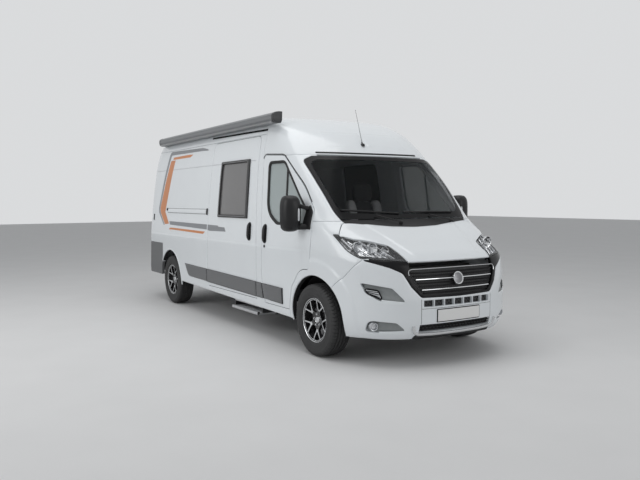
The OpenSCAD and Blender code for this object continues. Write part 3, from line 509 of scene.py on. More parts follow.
def sheet_solid(points, normals, faces, thick, roll, shrink=0.0):
    """A closed sheet: the outer face drawn in at its rim, an edge rolled over, and an inner face."""
    tri = points[faces]
    facing = np.cross(tri[:, 1] - tri[:, 0], tri[:, 2] - tri[:, 0])
    if np.sum(facing * normals[faces[:, 0]]) < 0:
        faces = faces[:, ::-1]
    count = len(points)
    outer, inner = points.copy(), points - normals * thick
    verts = [outer, inner]
    quads, total = [], 2 * count
    for loop in rims(faces):
        p, n = points[loop], normals[loop]
        along = np.roll(p, -1, axis=0) - np.roll(p, 1, axis=0)
        out = np.cross(along, n)
        out /= np.linalg.norm(out, axis=1)[:, None] + 1e-12
        p = p - out * shrink
        outer[loop] = p
        inner[loop] = p - n * thick
        rings = [loop]
        if roll:
            outer[loop] = p - out * roll
            for angle in np.radians((30, 60, 90)):
                verts.append(p - out * roll * (1 - math.sin(angle)) - n * roll * (1 - math.cos(angle)))
                rings.append(np.arange(total, total + len(loop)))
                total += len(loop)
        rings.append(loop + count)
        for a, b in zip(rings[:-1], rings[1:]):
            quads += list(zip(a, b, np.roll(b, -1), np.roll(a, -1)))
    return np.vstack(verts), [tuple(f) for f in faces] + [tuple(f[::-1]) for f in faces + count] + quads


def panel(name, outline, material, body, minus=(), step=0.03, thick=0.045, roll=0.004, lift=0.0,
          shrink=0.0015, right=False, tail=False, replaces=(), slot="paint", relief=None):
    """A panel of the body skin: the inside of an outline of skin places less that of the other loops."""
    flat, faces = fill([outline, *minus], step)
    if tail:
        flat = tail_places(flat)
    if right:
        flat = flat * (-1, 1)
    points, normals = skin(flat)
    points = points + normals * lift
    if relief:
        points = points + normals * relief(points)[:, None]
    verts, solid = sheet_solid(points, normals, faces, thick, roll, shrink)
    return piece(name, verts, solid, material, body, replaces, slot)


def tail_places(flat):
    """Skin places from places that count across from the middle of the tail."""
    across = flat[:, 0]
    u = np.where(across >= 0, RING_U[4] - across, -RING_U[4] - across)
    return np.column_stack((u, flat[:, 1]))


def both(loop):
    """A loop of the left half, which starts and ends on the middle line, joined to its mirror image."""
    loop = loop[loop[:, 0] > 1e-4]
    return np.vstack((loop, (loop * (-1, 1))[::-1]))


def bead(name, path, profile, material, body, closed=True, right=False, slot=None, replaces=(), step=0.02):
    """A strip of one section along a path of skin places. Section points are [outwards, off the skin]."""
    path = np.asarray(path, float)
    if closed:
        path = even(path, step)
    if right:
        path = path * (-1, 1)
    p, n = skin(path)
    if closed:
        along = np.roll(p, -1, axis=0) - np.roll(p, 1, axis=0)
    else:
        along = np.gradient(p, axis=0)
    out = np.cross(along, n) * (-1 if right else 1)
    out /= np.linalg.norm(out, axis=1)[:, None] + 1e-12
    profile = np.asarray(profile, float)
    verts = np.vstack([p[k] + np.outer(profile[:, 0], out[k]) + np.outer(profile[:, 1], n[k])
                       for k in range(len(p))])
    m, count = len(profile), len(p)
    faces = []
    for k in range(count if closed else count - 1):
        a, b = k * m, (k + 1) % count * m
        faces += [(a + j, a + (j + 1) % m, b + (j + 1) % m, b + j) for j in range(m)]
    if not closed:
        faces += [tuple(range(m - 1, -1, -1)), tuple(range((count - 1) * m, count * m))]
    return piece(name, verts, faces, material, body, replaces, slot)


def strip(name, path, profile, material, body="body", right=False, slot="black_plastic"):
    """A bead along an open path, closed at its ends."""
    return bead(name, path, profile, material, body, False, right, slot)


SIDES = (("left", 1), ("right", -1))
HANDS = (("left", False), ("right", True))

# Side walls: steel outer panels with the sill, the rear corner and the sliding door's opening, painted
# white. The left one has a camper window and the right one the door; both meet the roof in a seam.
white = Finish("white_paint")
cloud = white.noise(3.0, 4.0)
white.set(Base_Color=white.tint(cloud, (0.765, 0.800, 0.825), (0.805, 0.838, 0.860)),
          Roughness=cloud * 0.06 + 0.23)
white.set(Coat_Weight=0.6, Coat_Roughness=0.08)
ahead_by, out_by, up_by = (white.node("SeparateXYZ", {}, {0: white.place()}, out=axis) for axis in "XYZ")
on_side = white.clamp((out_by.math("ABSOLUTE") - 0.80) * 20) * white.clamp((1.93 - ahead_by) * 12)
waist = white.clamp((1.040 - up_by) * 40) * 0.9
seam_line = white.clamp(1 - (up_by - 1.992).math("ABSOLUTE") * 160) * white.clamp((0.70 - ahead_by) * 30)
white.bump((waist - seam_line * 0.8) * on_side, 0.006)
paint = white.material
DOOR = rounded([
    (1035, 400, 30), (965, 700, 120), (965, 1000, 200), (865, 2045, 60), (1331, 2016, 160), (1779, 1680, 900),
    (1990, 1440, 60), (1996, 1110, 100), (1973, 850, 60), (1791, 835, 200), (1631, 640, 160),
    (1581, 400, 30)])
SLIDE_DOOR = rounded([
    (-585, 420, 40), (845, 420, 30), (835, 1000, 200), (725, 2274, 80), (-585, 2274, 60)])
WINDOW = rounded([(-245, 1335, 60), (575, 1335, 60), (535, 2005, 60), (-245, 2005, 60)])
gap_half = 0.0045
wall_front_x = 1.581
pillar_rear_x = 1.151
pillar_z = 1.33
arch_r = 0.415
arch_z = 0.385
sill_z = 0.312
wall_top = 2.284
cab_roof_x = 0.848
cab_roof_z = 2.012
rear_door_half = 0.80
bumper_corner_x = tail_x + 0.660
bumper_corner_z = 0.885


def box(x0, z0, x1, z1):
    """A rectangle as a closed loop with points along its edges."""
    return even(np.array([(x0, z0), (x1, z0), (x1, z1), (x0, z1)], float), 0.06)


def arch(x):
    """The round opening over a wheel, as [x, z] points."""
    angles = np.linspace(0, 2 * math.pi, 72, endpoint=False)
    return np.column_stack((x + arch_r * np.cos(angles), arch_z + arch_r * np.sin(angles)))


def sill(x):
    """Height of the sill's lower edge, which rises from the front wheel to the tail."""
    return np.interp(x, (-3.1, -1.569, 1.711), (0.402, 0.378, sill_z))


door_loop = side_uv(even(DOOR, 0.04))
slide_loop = side_uv(even(SLIDE_DOOR, 0.04))
window_loop = side_uv(WINDOW)
rear_arch_loop = side_uv(arch(axle_r))
front_arch_loop = side_uv(arch(axle_f))
wall_top_v, cab_roof_v, corner_v = v_of_z([wall_top, cab_roof_z, bumper_corner_z])
front_edge = straight(side_uv, wall_front_x, sill(wall_front_x), wall_front_x, wall_top, 60)
tail_edge = straight(tail_uv, rear_door_half, wall_top, rear_door_half, sill(tail_x), 60)
sill_x = np.linspace(-2.70, 1.52, 80)
sill_edge = side_uv(np.column_stack((sill_x, sill(sill_x))))
wall_outline = np.vstack((front_edge, tail_edge, sill_edge))
cab_edge = straight(side_uv, cab_roof_x, cab_roof_z, cab_roof_x, wall_top, 24)
above_door = np.vstack((cab_edge, [(0.5, wall_top_v + 0.05), (0.5, cab_roof_v)]))
pillar_zone = side_uv(box(pillar_rear_x, pillar_z, 1.9, 2.1))
bumper_u = side_uv([(bumper_corner_x, 0.6)])[0, 0]
bumper_zone = np.array([(bumper_u, 0.2), (RING_U[4], 0.2), (RING_U[4], corner_v), (bumper_u, corner_v)])
TAIL_LAMP = rounded([(822, 1022, 12), (940, 1022, 12), (940, 1578, 12), (822, 1578, 12)])
tail_lamp_loop = tail_uv(TAIL_LAMP)
wall_minus = [door_loop, rear_arch_loop, above_door, pillar_zone, bumper_zone, tail_lamp_loop]
panel("side_wall_left_skin", wall_outline, paint, "body", [*wall_minus, window_loop],
      replaces=("side_wall_left",))
panel("side_wall_right_skin", wall_outline, paint, "body", [*wall_minus, slide_loop], right=True,
      replaces=("side_wall_right",))
panel("sliding_door_skin", slide_loop, paint, "body", [window_loop], right=True, shrink=gap_half,
      replaces=("sliding_door",))


def weld(points, normals, faces):
    """Joins points that lie in the same place."""
    keys = np.round(points, 5)
    _, first, place = np.unique(keys, axis=0, return_index=True, return_inverse=True)
    place = place.reshape(-1)
    faces = place[faces]
    whole = (faces[:, 0] != faces[:, 1]) & (faces[:, 1] != faces[:, 2]) & (faces[:, 0] != faces[:, 2])
    return points[first], normals[first], faces[whole]


# Roof: one pressing from the forehead over the windscreen to the tail, painted white. Its crown is flat,
# its edges are rolled over, and it rests on the side walls and the pillars.
roof_step = 0.0405
roof_end = RING_U[4]
roof_v = (cab_roof_v, ROW_V[-1])
roof_outline = even(np.array([(-roof_end, roof_v[0]), (roof_end, roof_v[0]), (roof_end, roof_v[1]),
                              (-roof_end, roof_v[1])]), roof_step)
side_of_roof = np.vstack((cab_edge[::-1], [(cab_edge[0, 0], 1.9), (roof_end + 0.1, 1.9),
                                           (roof_end + 0.1, wall_top_v)]))
flat, roof_faces = fill([roof_outline, side_of_roof, side_of_roof * (-1, 1), door_loop,
                         door_loop * (-1, 1)], roof_step)
roof_points, roof_normals = skin(flat)
crown = even(np.array([(-roof_end, roof_v[1]), (roof_end, roof_v[1])]), roof_step)
crown = crown[:len(crown) // 2 + 1]
crown_ring = skin(crown)[0][:-1]
cap_flat, cap_faces = fill([crown_ring[:, :2]], 0.08)
cap_points = np.column_stack((cap_flat, np.full(len(cap_flat), crown_ring[0, 2])))
up = np.tile((0.0, 0.0, 1.0), (len(cap_points), 1))
roof_sheet = weld(np.vstack((roof_points, cap_points)), np.vstack((roof_normals, up)),
                  np.vstack((roof_faces, cap_faces + len(roof_points))))
verts, solid = sheet_solid(*roof_sheet, 0.045, 0.004, 0.0015)
piece("roof_skin", verts, solid, paint, "body", ("roof",), "paint")

# Cab shell: the windscreen pillars, the front wings with the arch lips, and the bonnet, all white steel.
# The bonnet's hinges sit at the corners of the windscreen; the wings are bolted on.
hood_front_z = 0.968
bumper_foot_z = 0.262
SCREEN = rounded([(-1, 2004, 0), (760, 1996, 60), (862, 1955, 60), (856, 1705, 0), (832, 1409, 300),
                  (800, 1335, 120), (720, 1225, 60), (-1, 1150, 0)])
LAMP = rounded([(516, 973, 10), (562, 1140, 60), (700, 1180, 60), (945, 1215, 10), (925, 1060, 120),
                (880, 1000, 60), (713, 990, 40)])
BAND = rounded([(-1, 640, 0), (430, 648, 50), (520, 745, 60), (588, 872, 60), (690, 922, 60),
                (880, 990, 10), (700, 1012, 10), (500, 975, 10), (-1, 968, 0)])
HOOD = rounded([(3099, -1, 0), (3099, 512, 0), (2851, 516, 60), (2651, 560, 60), (2475, 827, 80),
                (2351, 922, 25), (2251, 812, 60), (2291, 590, 80), (2351, 283, 80), (2372, -1, 0)])
BUMPER_SIDE = rounded([(2251, 205, 0), (2251, 640, 0), (2365, 745, 0), (2482, 824, 60), (2651, 985, 0),
                       (2651, 1060, 0), (3099, 1060, 0), (3099, 205, 0)])


screen_loop = both(front_uv(np.maximum(even(SCREEN, 0.04), 0)))
lamp_loop = front_uv(even(LAMP, 0.02))
band_loop = both(front_uv(np.maximum(even(BAND, 0.03), 0)))
hood_loop = both(plan_uv(np.maximum(even(HOOD, 0.03), 0)))
low_v, hood_v = v_of_z([bumper_foot_z, hood_front_z])
below_hood = np.array([(-1.5, 0.5), (1.5, 0.5), (1.5, hood_v), (-1.5, hood_v)])
wing_zone = side_uv(even(rounded([(1500, 205, 0), (2251, 205, 0), (2251, 640, 0), (2365, 745, 0),
                                  (2482, 824, 60), (2651, 985, 0), (2651, 1100, 0), (1500, 1100, 0)]),
                         0.04))
pillar_edge = straight(side_uv, pillar_rear_x, cab_roof_z, pillar_rear_x, pillar_z, 40)
pillar_front = straight(front_uv, 0.70, pillar_z, 0.70, cab_roof_z, 40)
pillar_outline = np.vstack((pillar_front, pillar_edge))
wing_edge = straight(side_uv, wall_front_x, pillar_z, wall_front_x, sill_z, 50)
wing_front = straight(front_uv, 0.78, sill_z, 0.78, pillar_z, 50)
wing_outline = np.vstack((wing_front, wing_edge))
bumper_side_loop = side_uv(even(BUMPER_SIDE, 0.04))


def arch_flare(points):
    """The wing and the bumper's corner swell out round the wheel, up to a soft crease."""
    reach = np.hypot(points[:, 0] - axle_f, points[:, 2] - arch_z)
    t = np.clip((0.590 - reach) / 0.045, 0, 1)
    ahead_of_door = np.clip((points[:, 0] - 1.80) / 0.16, 0, 1)
    on_flank = np.clip((np.abs(points[:, 1]) - 0.80) / 0.08, 0, 1)
    return 0.009 * t * t * (3 - 2 * t) * ahead_of_door * on_flank


wing_minus = [door_loop, bumper_side_loop, lamp_loop, band_loop, hood_loop, screen_loop, front_arch_loop]
for side, right in HANDS:
    panel(f"pillar_{side}_skin", pillar_outline, paint, "body", [screen_loop, door_loop], right=right,
          step=0.02)
    panel(f"wing_{side}_skin", wing_outline, paint, "body", wing_minus, right=right, step=0.02,
          relief=arch_flare)
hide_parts("a_pillars")
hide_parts("wings")


def hood_relief(points):
    """The bonnet's middle stands proud of its flanks along two creases that part towards the windscreen."""
    crease = 0.454 + (2.672 - points[:, 0]) * 0.324
    t = np.clip((crease - np.abs(points[:, 1])) / 0.045 + 0.5, 0, 1)
    return 0.007 * t * t * (3 - 2 * t) * np.clip((points[:, 2] - 0.985) / 0.05, 0, 1)


panel("hood_skin", hood_loop, paint, "hood", [below_hood], step=0.018, thick=0.018, shrink=gap_half,
      replaces=("hood",), relief=hood_relief)
liner_black = finish("arch_liner", (0.012, 0.012, 0.012), (0.022, 0.022, 0.022), 0.85, 180, 0.1, 0.001)
arch_bend = np.radians(np.linspace(-14, 194, 70))
flange = np.array([(-0.001, -0.004), (0.022, -0.004), (0.020, 0.002), (0.012, 0.005), (0.003, 0.004)])
liner_edge = np.array([(0.002, -0.004), (-0.003, -0.006), (-0.003, -0.050), (0.002, -0.050)])
for name, x, low in (("front", axle_f, 0.30), ("rear", axle_r, 0.32)):
    path = np.column_stack((x + arch_r * np.cos(arch_bend), arch_z + arch_r * np.sin(arch_bend)))
    path = path[path[:, 1] > low]
    if name == "rear":
        path = path[path[:, 0] > bumper_corner_x + 0.004]
    for side, right in HANDS:
        lip = side_uv(path[::-1])
        strip(f"arch_{name}_{side}_flange", lip, flange, paint, right=right, slot="paint")
        strip(f"arch_{name}_{side}_liner_edge", lip, liner_edge, liner_black, right=right)

# Front bumper: one moulding, painted white, that wraps round to the arches. It has a row of cells over
# the number plate, a lower intake, and pockets for the daytime and fog lamps.
DAY_POCKET = rounded([(572, 606, 20), (690, 738, 40), (888, 780, 10), (862, 690, 60), (780, 625, 60)])
FOG_POCKET = rounded([(560, 340, 20), (660, 425, 60), (850, 443, 40), (850, 330, 40)])
cell_w = 0.104
cell_pitch = 0.117
cell_z = (0.563, 0.620)
intake_half = 0.44
intake_z = (0.322, 0.397)
day_loop = front_uv(even(DAY_POCKET, 0.02))
fog_loop = front_uv(even(FOG_POCKET, 0.02))
cells = [front_uv(box(k * cell_pitch - cell_w / 2, cell_z[0], k * cell_pitch + cell_w / 2, cell_z[1]))
         for k in range(-3, 4)]
intake_loop = front_uv(box(-intake_half, intake_z[0], intake_half, intake_z[1]))
bumper_edge = straight(side_uv, 2.20, bumper_foot_z, 2.20, 1.04, 40)
bumper_outline = both(np.vstack(([(0, low_v)], bumper_edge, [(0, bumper_edge[-1, 1])])))
VALANCE = rounded([(-500, 200, 0), (500, 200, 0), (470, 300, 20), (-470, 300, 20)])
valance_loop = front_uv(np.maximum(even(VALANCE, 0.03), (-1, 0.251)))
bumper_minus = [band_loop, hood_loop, *cells, intake_loop, valance_loop]
for flip in ((1, 1), (-1, 1)):
    bumper_minus += [wing_zone * flip, lamp_loop * flip, front_arch_loop * flip, day_loop * flip,
                     fog_loop * flip]
panel("front_bumper_skin", bumper_outline, paint, "body", bumper_minus, step=0.02, thick=0.03,
      replaces=("front_bumper",), relief=arch_flare)

# Grille: a glossy black moulding between the lamps, clipped into the nose. A dark net fills its opening,
# seven slats cross it, two of them chromed, and a plain chrome-rimmed disc sits in the middle.
gloss_black = finish("gloss_black", (0.006, 0.006, 0.007), (0.011, 0.011, 0.012), 0.20, 40, 0.08,
                     Specular_IOR_Level=0.16)
chrome = finish("chrome", (0.70, 0.71, 0.72), (0.80, 0.81, 0.82), 0.09, 60, 0.05, Metallic=1.0)
GRILLE_MOUTH = rounded([(-1, 662, 0), (392, 668, 40), (470, 745, 60), (540, 880, 50), (500, 905, 30),
                        (-1, 908, 0)])
mouth_loop = both(front_uv(np.maximum(even(GRILLE_MOUTH, 0.03), 0)))
band_minus = [hood_loop, lamp_loop, lamp_loop * (-1, 1), mouth_loop]
panel("grille_band", band_loop, gloss_black, "body", band_minus, step=0.02, thick=0.03,
      replaces=("grille",), slot="black_plastic")


def loft(rings, closed=False):
    """A skin through rings of equally many points; its ends are filled, or joined to each other."""
    count, total = len(rings[0]), len(rings)
    faces = []
    for k in range(total if closed else total - 1):
        a, b = k * count, (k + 1) % total * count
        faces += [(a + j, a + (j + 1) % count, b + (j + 1) % count, b + j) for j in range(count)]
    if not closed:
        faces += [tuple(range(count - 1, -1, -1)), tuple(range((total - 1) * count, total * count))]
    return np.vstack(rings), faces


def oval(wide, high, count=12, power=2.0):
    """A closed section: an ellipse, or a rounder box at a higher power."""
    angle = np.linspace(0, 2 * math.pi, count, endpoint=False)
    c, s = np.cos(angle), np.sin(angle)
    return np.column_stack((wide * np.sign(c) * np.abs(c) ** (2 / power),
                            high * np.sign(s) * np.abs(s) ** (2 / power)))


def lofted(name, rings, material, body, replaces=(), slot=None, **more):
    """A piece with a skin through rings."""
    verts, faces = loft(rings)
    return piece(name, verts, faces, material, body, replaces, slot, **more)


def front_line(y0, z0, y1, z1, count=24):
    """Skin places along a straight line seen from the front."""
    return straight(front_uv, y0, z0, y1, z1, count)


def net(name, cell, hole, depth=0.006, tone=(0.012, 0.012, 0.013)):
    """A dark net: its holes are cells of a slanted lattice that sink in, darkened with painted shade."""
    made = Finish(name)
    where = made.place()
    x = made.node("SeparateXYZ", {}, {0: where}, out="Y")
    z = made.node("SeparateXYZ", {}, {0: where}, out="Z")
    a = ((x + z) * (1 / cell)).math("PINGPONG", 1.0)
    b = ((x - z) * (1 / cell)).math("PINGPONG", 1.0)
    bars = a.math("MAXIMUM", b).math("GREATER_THAN", hole)
    # Painted shade: the holes are coloured far darker than the bars.
    made.set(Base_Color=made.tint(bars, tuple(0.25 * t for t in tone), tuple(2.2 * t for t in tone)))
    made.set(Roughness=bars * -0.3 + 0.75)
    made.bump(bars, depth)
    return made.material


grille_net = net("grille_net", 0.012, 0.62)
panel("grille_back", mouth_loop, grille_net, "body", step=0.03, thick=0.008, lift=-0.026, shrink=-0.012,
      roll=0, slot="black_plastic")
SLATS = [
    # height, half length, half height, chromed
    (0.874, 0.505, 0.007, False),
    (0.845, 0.490, 0.006, False),
    (0.812, 0.470, 0.009, True),
    (0.780, 0.450, 0.006, False),
    (0.750, 0.435, 0.006, False),
    (0.717, 0.418, 0.009, True),
    (0.688, 0.400, 0.006, False),
]
for k, (z, reach, tall, bright) in enumerate(SLATS):
    section = oval(tall, 0.011 if bright else 0.008, 10) + (0, -0.010)
    strip(f"grille_slat_{k}", front_line(-reach, z, reach, z, 40), section, chrome if bright else gloss_black)
RIM_LINE = np.array([(-0.532, 0.850), (-0.537, 0.878), (-0.525, 0.897), (-0.500, 0.904), (-0.30, 0.906),
                     (0.0, 0.907), (0.30, 0.906), (0.500, 0.904), (0.525, 0.897), (0.537, 0.878),
                     (0.532, 0.850)])
rim_run = np.concatenate(([0], np.cumsum(np.hypot(*np.diff(RIM_LINE, axis=0).T))))
rim_at = np.linspace(0, rim_run[-1], 70)
rim_line = np.column_stack([np.interp(rim_at, rim_run, RIM_LINE[:, k]) for k in (0, 1)])
strip("grille_rim", front_uv(rim_line), oval(0.0035, 0.004, 8) + (0, 0.001), chrome)


def turned(profile, steps=48):
    """Rings of a turned shape about X; profile points are [along, radius]."""
    angle = np.linspace(0, 2 * math.pi, steps, endpoint=False)
    return [np.column_stack((np.full(steps, a), r * np.cos(angle), r * np.sin(angle))) for a, r in profile]


def knob(name, place, profile, material, body):
    """A turned knob that stands square on the skin at a place."""
    at, normal = skin(place)
    verts, faces = loft(turned(profile, 24))
    lean = np.array(Vector((1, 0, 0)).rotation_difference(Vector(normal[0])).to_matrix())
    piece(name, verts @ lean.T + at[0], faces, material, body, slot="black_plastic")


disc_at = skin(front_uv([(0.0, 0.806)]))[0][0] + (0.008, 0, 0)
disc_tilt = math.radians(14)
rings = turned([(-0.03, 0.050), (0.004, 0.062), (0.011, 0.060), (0.013, 0.055), (0.009, 0.050),
                (0.011, 0.030), (0.0125, 0.010), (0.0125, 0.001)])
verts, faces = loft(rings)
tilt = np.array([(math.cos(disc_tilt), 0, math.sin(disc_tilt)), (0, 1, 0),
                 (-math.sin(disc_tilt), 0, math.cos(disc_tilt))])
disc_face = finish("disc_face", (0.18, 0.18, 0.19), (0.26, 0.26, 0.27), 0.25, 50, 0.1, Metallic=0.8)
groups = [0 if max(np.hypot(verts[list(f), 1], verts[list(f), 2])) > 0.0505 else 1 for f in faces]
piece("grille_disc", verts @ tilt + disc_at, faces, [chrome, disc_face], "body", slot="black_plastic",
      groups=groups)

# Headlamps: a clear moulded lens over a faceted reflector with a black bezel, three chromed bowls and a white
# marker. The lens follows the body's skin; the bowls face forwards.
lens = finish("lamp_lens", (0.70, 0.72, 0.74), (0.76, 0.78, 0.80), 0.03, 5, 0.02, Alpha=0.05)
lamp_black = finish("lamp_bezel", (0.008, 0.008, 0.009), (0.014, 0.014, 0.015), 0.35, 60, 0.1,
                    Specular_IOR_Level=0.2)
facets = Finish("lamp_reflector")
facet_tone = facets.node("TexVoronoi", {}, {"Vector": facets.place(), "Scale": 34.0}, out="Color")
facet = facets.node("SeparateXYZ", {}, {0: facet_tone})
facets.set(Base_Color=facets.tint(facet, (0.02, 0.02, 0.022), (0.88, 0.89, 0.91)),
           Roughness=facet * 0.1 + 0.16, Metallic=0.7)
reflector = facets.material
lamp_silver = finish("lamp_silver", (0.50, 0.51, 0.53), (0.68, 0.69, 0.71), 0.2, 30, 0.1, Metallic=0.9)
bulb = finish("lamp_bulb", (0.90, 0.92, 0.95), (0.95, 0.96, 0.98), 0.08, 20, 0.04, Alpha=0.6)
BOWLS = [
    # across, height, radius, depth
    (0.835, 1.098, 0.047, 0.045),
    (0.728, 1.085, 0.050, 0.050),
    (0.632, 1.062, 0.036, 0.040),
]
LAMP_RIB = [(0.880, 1.160, 0.770, 1.010), (0.785, 1.170, 0.672, 1.000), (0.700, 1.160, 0.590, 0.995)]
for side, flip in SIDES:
    loop = lamp_loop * (flip, 1)
    panel(f"headlamp_{side}_lens", loop, lens, "body", [hood_loop], step=0.015, thick=0.003, roll=0.001,
          slot="lamp", shrink=0.003)
    panel(f"headlamp_{side}_housing", loop, reflector, "body", [hood_loop], step=0.015, thick=0.01, roll=0,
          lift=-0.050, slot="lamp", shrink=0.004)
    panel(f"headlamp_{side}_bezel", loop, lamp_black, "body", [hood_loop, inset(loop, 0.020)], step=0.01,
          thick=0.045, lift=-0.004, roll=0.001, slot="black_plastic", shrink=0.003)
    for k, (y, z, r, deep) in enumerate(BOWLS):
        at = skin(front_uv([(flip * y, z)]))[0][0] - (0.052, 0, 0)
        rings = turned([(0.0, 0.004), (0.006, 0.5 * r), (0.018, 0.82 * r), (deep * 0.7, r),
                        (deep * 0.72, 1.08 * r), (deep * 0.55, 1.1 * r), (-0.002, 1.0 * r),
                        (-0.004, 0.004)], 32)
        verts, faces = loft(rings)
        piece(f"headlamp_{side}_bowl_{k}", verts + at, faces, chrome, "body", slot="lamp")
        rings = turned([(0.004, 0.013), (0.020, 0.014), (0.026, 0.010), (0.029, 0.003)], 24)
        verts, faces = loft(rings)
        piece(f"headlamp_{side}_bulb_{k}", verts + at, faces, bulb, "body", slot="lamp")
    for k, (y0, z0, y1, z1) in enumerate(LAMP_RIB):
        strip(f"headlamp_{side}_rib_{k}", front_line(flip * y0, z0, flip * y1, z1, 12),
              oval(0.006, 0.012, 8) + (0, -0.030), lamp_silver, slot="lamp")
    strip(f"headlamp_{side}_marker", front_line(flip * 0.908, 1.180, flip * 0.893, 1.085, 12),
          oval(0.008, 0.010, 8) + (0, -0.022), bulb, slot="lamp")
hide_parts("front_lamps")

# Bumper fittings: daytime lamps and fog lamps in pockets of the white body coloured grey as painted shade,
# dark nets behind the cells and the intake, a chromed skid bar under it, and a blank number plate on its
# panel.
# The pockets belong to the white body; their darker grey colour is painted shade.
pocket_painted_shade = finish("pocket_painted_shade", (0.215, 0.230, 0.232), (0.275, 0.290, 0.292), 0.38, 30, 0.12,
                       Metallic=0.2)
DAY_LAMP = rounded([(766, 636, 10), (792, 716, 20), (870, 730, 10), (852, 690, 30)])
day_lamp_loop = front_uv(even(DAY_LAMP, 0.015))
day_glow = finish("day_lamp_lens", (0.62, 0.64, 0.66), (0.75, 0.77, 0.79), 0.08, 30, 0.06, Coat_Weight=0.5)
fog_at = (0.800, 0.388)
fog_turn = 0.3
fog_scale = 0.82
FOG_LAMP = [
    # part, points of [along, radius], finish
    ("rim", [(0.0, 0.050), (0.030, 0.050), (0.036, 0.046), (0.034, 0.041), (0.020, 0.039), (0.010, 0.030),
             (0.006, 0.002)], lamp_silver),
    ("lens", [(0.022, 0.038), (0.030, 0.034), (0.034, 0.024), (0.036, 0.010), (0.036, 0.001)], lens),
]


def day_hollow(points):
    """The daytime lamp's pocket is deepest under its upper edge and runs out to its inner tip."""
    across = np.clip((np.abs(points[:, 1]) - 0.57) / 0.20, 0, 1)
    crease = 0.606 + (np.abs(points[:, 1]) - 0.572) * 0.34
    above = np.clip((points[:, 2] - crease) / 0.05, 0, 1)
    return -0.034 * across * (0.25 + 0.75 * above)


def fog_hollow(points):
    """The fog lamp's pocket is deepest round the lamp and narrows to nothing at its inner tip."""
    across = np.clip((np.abs(points[:, 1]) - 0.565) / 0.15, 0, 1)
    up = np.clip((points[:, 2] - 0.345) / 0.07, 0, 1)
    return -0.036 * across * (0.35 + 0.65 * up)


for side, flip in SIDES:
    panel(f"day_pocket_{side}", day_loop * (flip, 1), pocket_painted_shade, "body", step=0.012, thick=0.006,
          lift=-0.010, roll=0, shrink=-0.004, slot="grey_plastic", relief=day_hollow)
    panel(f"day_lamp_{side}_rim", day_lamp_loop * (flip, 1), gloss_black, "body", step=0.012, thick=0.024,
          lift=-0.008, roll=0.003, shrink=-0.008, slot="black_plastic")
    panel(f"day_lamp_{side}", inset(day_lamp_loop, 0.004) * (flip, 1), day_glow, "body", step=0.012,
          thick=0.02, lift=-0.004, roll=0.003, slot="lamp")
    for k in range(3):
        t = (k + 0.5) / 3
        line = front_line(flip * (0.780 + 0.012 * t), 0.648 + 0.066 * t, flip * (0.852 + 0.014 * t),
                          0.688 + 0.030 * t, 8)
        strip(f"day_lamp_{side}_line_{k}", line, oval(0.0035, 0.003, 8) + (0, -0.002), gloss_black)
    panel(f"fog_pocket_{side}", fog_loop * (flip, 1), pocket_painted_shade, "body", step=0.012, thick=0.006,
          lift=-0.008, roll=0, shrink=-0.004, slot="grey_plastic", relief=fog_hollow)
    at = skin(front_uv([(flip * fog_at[0], fog_at[1])]))[0][0] - (0.045, 0, 0)
    c, s = math.cos(fog_turn), flip * math.sin(fog_turn)
    outwards = np.array([(c, s, 0), (-s, c, 0), (0, 0, 1)])
    for part, profile, made in FOG_LAMP:
        verts, faces = loft(turned([(a, r * fog_scale) for a, r in profile], 40))
        piece(f"fog_lamp_{side}_{part}", verts @ outwards + at, faces, made, "body", slot="lamp")
    for part, y0, z0, y1, z1 in (("day", 0.772, 0.629, 0.586, 0.606), ("fog", 0.770, 0.334, 0.580, 0.341)):
        strip(f"{part}_pocket_{side}_ledge", front_line(flip * y0, z0, flip * y1, z1, 20),
              oval(0.009, 0.007, 10) + (0, -0.007), paint, slot="paint")
dark_net = net("intake_net", 0.020, 0.66)
panel("cell_back", front_uv(box(-0.43, cell_z[0] - 0.012, 0.43, cell_z[1] + 0.012)), dark_net, "body",
      step=0.03, thick=0.006, lift=-0.030, roll=0, slot="black_plastic")
panel("intake_back", front_uv(box(-0.46, intake_z[0] - 0.012, 0.46, intake_z[1] + 0.012)), dark_net, "body",
      step=0.03, thick=0.006, lift=-0.030, roll=0, slot="black_plastic")
for k, z in enumerate((0.346, 0.371)):
    strip(f"intake_slat_{k}", front_line(-intake_half - 0.01, z, intake_half + 0.01, z, 30),
          oval(0.004, 0.008, 8) + (0, -0.016), gloss_black)
cowl_black = finish("cowl_plastic", (0.012, 0.012, 0.013), (0.020, 0.020, 0.021), 0.6, 120, 0.12, 0.0003,
                    Specular_IOR_Level=0.35)
SKID = np.array([(-0.505, 0.392), (-0.500, 0.360), (-0.482, 0.330), (-0.445, 0.312), (-0.30, 0.306),
                 (0, 0.304), (0.30, 0.306), (0.445, 0.312), (0.482, 0.330), (0.500, 0.360), (0.505, 0.392)])
skid_silver = finish("skid_silver", (0.62, 0.63, 0.64), (0.72, 0.73, 0.74), 0.25, 60, 0.1, Metallic=0.5)
spread = np.linspace(0, len(SKID) - 1, 61)
skid_path = np.column_stack([np.interp(spread, np.arange(len(SKID)), SKID[:, k]) for k in (0, 1)])
panel("valance", valance_loop, cowl_black, "body", step=0.03, thick=0.03, lift=-0.004, slot="black_plastic")
strip("skid_bar", front_uv(skid_path), oval(0.016, 0.012, 12, 2.6) + (0, 0.004), skid_silver, slot="steel")
plate_white = finish("plate_white", (0.78, 0.78, 0.77), (0.83, 0.83, 0.82), 0.35, 200, 0.1, 0.0001)
plate_loop = front_uv(even(rounded([(-260, 419, 8), (260, 419, 8), (260, 529, 8), (-260, 529, 8)]), 0.04))
HOLDER = rounded([(-266, 412, 10), (266, 412, 10), (266, 535, 10), (-266, 535, 10)])
panel("plate_holder", front_uv(even(HOLDER, 0.04)), gloss_black, "body", step=0.03, thick=0.010, lift=0.006,
      roll=0.003, slot="black_plastic", shrink=0)
panel("plate_front", plate_loop, plate_white, "body", step=0.03, thick=0.004, lift=0.0085, roll=0.0012,
      slot="paint", shrink=0.002)
